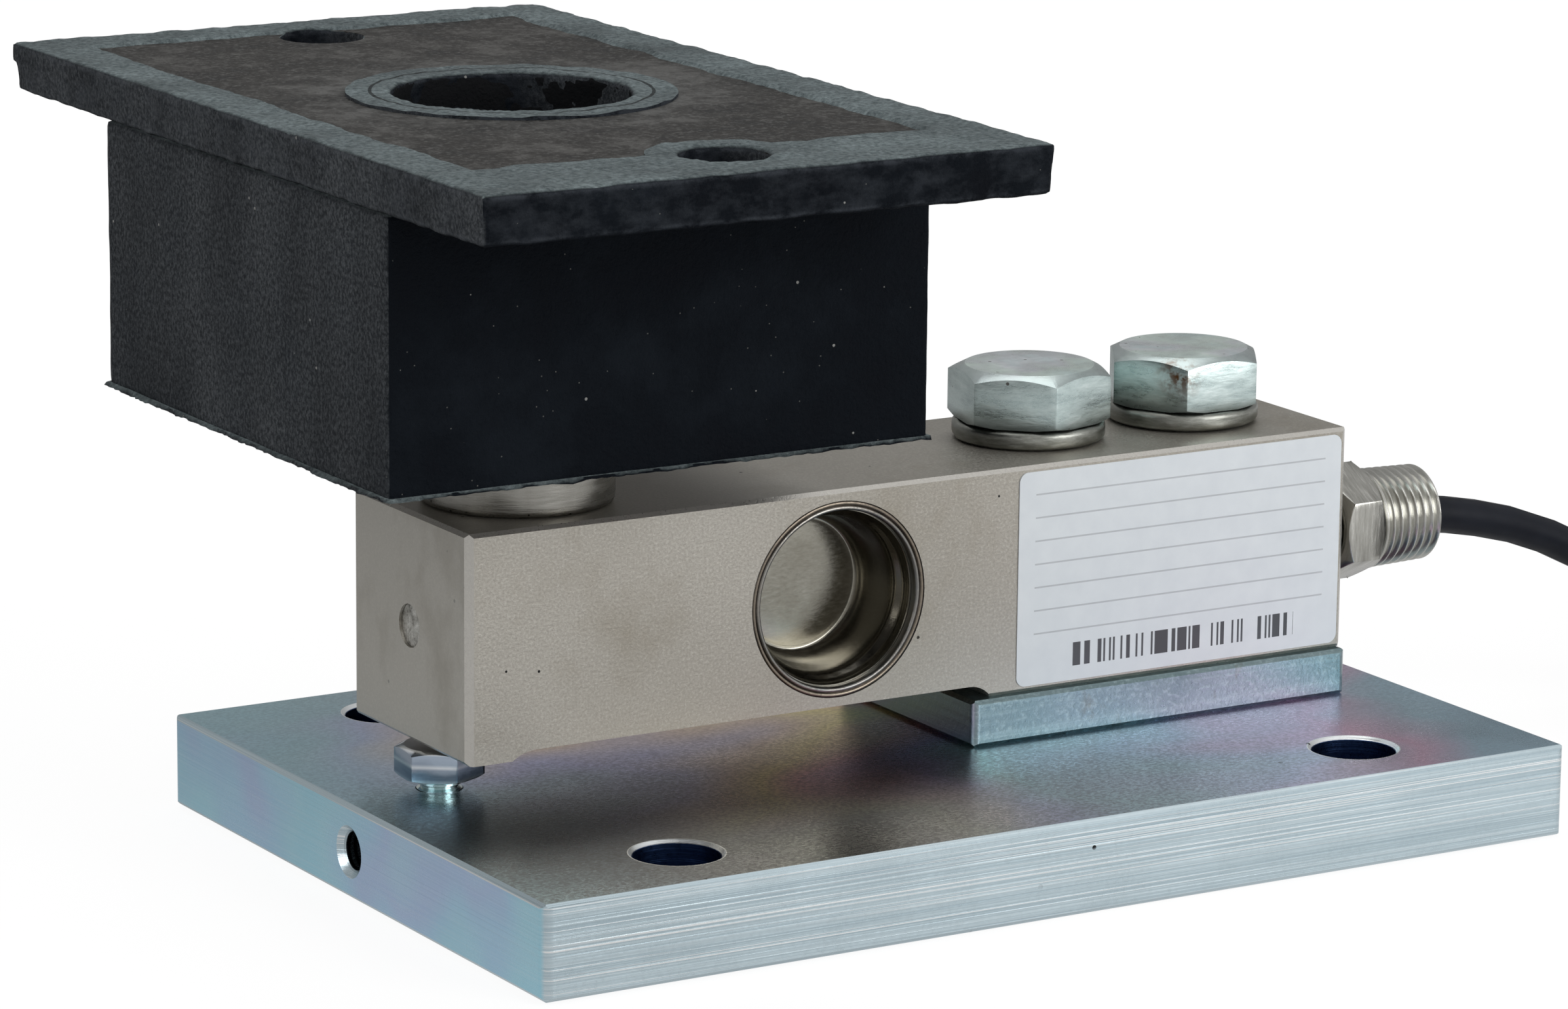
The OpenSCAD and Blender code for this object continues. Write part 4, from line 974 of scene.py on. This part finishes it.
# Painted light: the left faces are painted lighter, flecked by a fine grain.
left = remap(tree, turned[0], -0.5, -0.95)
fine_speck_grain = noise(tree, object_point(tree, scale=(1, 1, 0.8)), 2100, 4.0, 0.75)
soft = remap(tree, noise(tree, object_point(tree, scale=(1, 1, 0.4), move=(0, 0.2, 0)), 55, 3.0), 0.35, 0.65,
             0.55, 1.0)
skin = blend(tree, times(tree, times(tree, left, soft), remap(tree, fine_speck_grain, 0.42, 0.66, 0.2, 1.0)), skin,
             (0.094, 0.102, 0.11))
lint = cells(tree, point, 620.0)
skin = blend(tree, times(tree, below(tree, lint, 0.055), above(tree, cloud, 0.5)), skin, (0.10, 0.10, 0.095))
specks = cells(tree, point, 210.0)
some = above(tree, noise(tree, point, 48, 2.0), 0.52)
skin = blend(tree, times(tree, below(tree, specks, 0.04), some), skin, (0.24, 0.24, 0.23))
ring = around(tree, *MOUNT)
line_in = below(tree, size_of(tree, minus(tree, ring, 0.01765)), 0.00022)
skin = blend(tree, times(tree, times(tree, line_in, up), 0.8), skin, (0.01, 0.01, 0.01))
# Painted shade: the wall of the bore is painted one flat dark tone.
skin = blend(tree, below(tree, ring, 0.0149), skin, (0.006, 0.0065, 0.0075))
colour_of(tree, shader, skin)
rough_by(tree, shader, cloud, 0.5, 0.72)
relief(tree, shader, plus(tree, plus(tree, grit, fine_speck_grain), times(tree, cloud, 2.5)), 0.0003, 0.9)
block.data.materials.clear()
block.data.materials.append(rubber)
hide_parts("rubber_block")
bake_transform(block)
fit(flange, "mount_top", "rubber", rubber, "rubber_flange")
dress(rubber, "cable_seal")

patina, tree, shader = new_finish("patinated_plate", (0.04, 0.036, 0.031), 0.5, 0.0)
dull(shader, 0.12)
point = object_point(tree)
blot = noise(tree, point, 85, 9.0, 0.8)
fine = noise(tree, point, 1500, 4.0, 0.7)
skin = stops(tree, blot, (0.40, (0.0045, 0.0042, 0.004)), (0.46, (0.015, 0.0135, 0.012)),
             (0.52, (0.024, 0.0222, 0.020)), (0.6, (0.076, 0.074, 0.070)))
skin = blend(tree, remap(tree, fine, 0.5, 0.66, 0.0, 0.5), skin, (0.15, 0.149, 0.143))
powder = times(tree, remap(tree, around(tree, *MOUNT), 0.034, 0.021), remap(tree, blot, 0.42, 0.58))
skin = blend(tree, times(tree, powder, 0.45), skin, (0.15, 0.152, 0.148))
colour_of(tree, shader, skin)
rough_by(tree, shader, blot, 0.42, 0.66)
relief(tree, shader, plus(tree, fine, blot), 0.0001, 0.6)
dress(patina, "top_insert")

# %% [markdown]
# ## Rating label
# The label is white glossy film, stuck flat on the beam. It is a bare printed form with pale grey rules and a strip
# of plain bars. Both are drawn by the material from the place on the film, so no picture is needed.

# %% Label
film_white, tree, shader = new_finish("white_label", (0.8, 0.81, 0.83), 0.35)
p = xyz(tree, object_point(tree))
u = remap(tree, p[0], 0.0143, 0.0655)
v = remap(tree, p[2], 0.0191, 0.0477)
rows = calc(tree, "FRACT", times(tree, minus(tree, v, 0.24), 9.2))
rule = below(tree, rows, 0.07)
inside = times(tree, times(tree, above(tree, u, 0.05), below(tree, u, 0.95)),
              times(tree, above(tree, v, 0.23), below(tree, v, 0.93)))
paper = blend(tree, noise(tree, object_point(tree), 300, 4.0), (0.64, 0.68, 0.715), (0.76, 0.80, 0.82))
paper = blend(tree, times(tree, times(tree, rule, inside), 0.55), paper, (0.30, 0.31, 0.33))
bars = add(tree, "TexWhiteNoise", {"W": calc(tree, "FLOOR", times(tree, u, 170.0))},
           noise_dimensions="1D").outputs["Value"]
strip = times(tree, times(tree, above(tree, u, 0.17), below(tree, u, 0.86)),
             times(tree, above(tree, v, 0.07), below(tree, v, 0.18)))
paper = blend(tree, times(tree, times(tree, strip, above(tree, bars, 0.44)), 0.95), paper, (0.02, 0.02, 0.025))
colour_of(tree, shader, paper)
relief(tree, shader, noise(tree, object_point(tree), 120, 3.0), 0.00008, 0.25)
dress(film_white, "rating_label")

# %% [markdown]
# ## Inner pieces
# What the beam and the mount hide still gets a plain honest finish, because the part is also looked at in pieces.

# %% Inner finishes
def plain(name, dark, light, roughness, size, metallic=0.0, depth=0.00005):
    m, tree, shader = new_finish(name, light, roughness, metallic)
    n = noise(tree, object_point(tree), size, 5.0, 0.65)
    colour_of(tree, shader, stops(tree, n, (0.3, dark), (0.7, light)))
    relief(tree, shader, n, depth, 0.4)
    return m


dress(plain("plain_inner_steel", (0.16, 0.155, 0.15), (0.30, 0.29, 0.28), 0.4, 150, 1.0, 0.0001),
      "bottom_insert")
dress(bolt_zinc, "load_bolt")
dress(galvanised, "load_washer")
dress(plain("amber_gauge", (0.50, 0.27, 0.06), (0.62, 0.38, 0.12), 0.35, 900), "front_gauge", "back_gauge")
dress(plain("green_board", (0.01, 0.12, 0.05), (0.02, 0.17, 0.07), 0.4, 600), "wiring_board")
dress(plain("red_leads", (0.28, 0.02, 0.02), (0.42, 0.04, 0.03), 0.4, 900), "inner_leads")

# %% [markdown]
# ## Floor and light
# The floor and the space round the object are near white, as in a catalogue picture. Three broad lamps light it from
# the left, from above and from the right. The metal mirrors the pale room, so the room stays even.

# %% Floor, room and lamps
bpy.ops.object.select_all(action="DESELECT")
bpy.ops.mesh.primitive_plane_add(size=6, location=(0, 0, -0.0004))
floor = newest("studio_floor")
white, tree, shader = new_finish("studio_white", (0.9, 0.9, 0.9), 0.9)
seen = add(tree, "LightPath").outputs
ground = xyz(tree, object_point(tree))
across = minus(tree, times(tree, ground[0], 0.7), ground[1])
pale = add(tree, "Emission", {"Color": (1, 1, 1, 1), "Strength": remap(tree, across, -0.25, 0.3, 0.3, 0.95)})
far_glow = remap(tree, around(tree, 0.05, 0), 0.3, 1.4, 1.08, 1.16)
glow = add(tree, "Emission", {"Color": (1, 1, 1, 1), "Strength": far_glow})
lit = add(tree, "MixShader", {0: times(tree, seen["Is Camera Ray"], 0.84)})
tree.links.new(shader.outputs[0], lit.inputs[1])
tree.links.new(glow.outputs[0], lit.inputs[2])
mixed = add(tree, "MixShader", {0: times(tree, seen["Is Glossy Ray"], 0.9)})
tree.links.new(lit.outputs[0], mixed.inputs[1])
tree.links.new(pale.outputs[0], mixed.inputs[2])
open_below = add(tree, "MixShader", {0: add(tree, "NewGeometry").outputs["Backfacing"]})
tree.links.new(mixed.outputs[0], open_below.inputs[1])
tree.links.new(add(tree, "BsdfTransparent").outputs[0], open_below.inputs[2])
tree.links.new(open_below.outputs[0], tree.nodes["Material Output"].inputs["Surface"])
floor.data.materials.append(white)

room = bpy.data.worlds.new("pale_room")
bpy.context.scene.world = room
room.use_nodes = True
tree = room.node_tree
seen = add(tree, "LightPath").outputs
way = xyz(tree, add(tree, "TexCoord").outputs["Generated"])
mirrored = plus(tree, remap(tree, way[1], 0.5, -0.8, 0.36, 0.8), remap(tree, way[2], 0.2, 0.8, 0.0, 0.15))
mirrored = minus(tree, mirrored, remap(tree, way[0], -0.2, -0.9, 0.0, 0.15))
shown = calc(tree, "MAXIMUM", seen["Is Camera Ray"], seen["Is Transmission Ray"])
strength = plus(tree, times(tree, seen["Is Glossy Ray"], mirrored), times(tree, seen["Is Diffuse Ray"], 0.34))
tree.links.new(calc(tree, "MAXIMUM", strength, shown), tree.nodes["Background"].inputs["Strength"])
tree.nodes["Background"].inputs["Color"].default_value = (1, 1, 1, 1)


def lamp(name, place_at, size, power):
    bpy.ops.object.light_add(type="AREA", location=place_at)
    light = bpy.context.object
    light.name = name
    light.data.shape, light.data.size, light.data.energy = "SQUARE", size, power
    light.rotation_euler = (Vector((0, 0, 0.05)) - Vector(place_at)).to_track_quat("-Z", "Y").to_euler()
    return light


lamp("left_window", (-1.1, -0.25, 0.65), 0.7, 3.5)
lamp("overhead", (0.1, 0.25, 1.2), 0.8, 3)
lamp("front_window", (0.45, -1.1, 0.5), 0.7, 8)
bpy.context.scene.view_settings.view_transform = "Standard"
print("floor", round(floor.dimensions.x, 1), "m wide, three lamps")
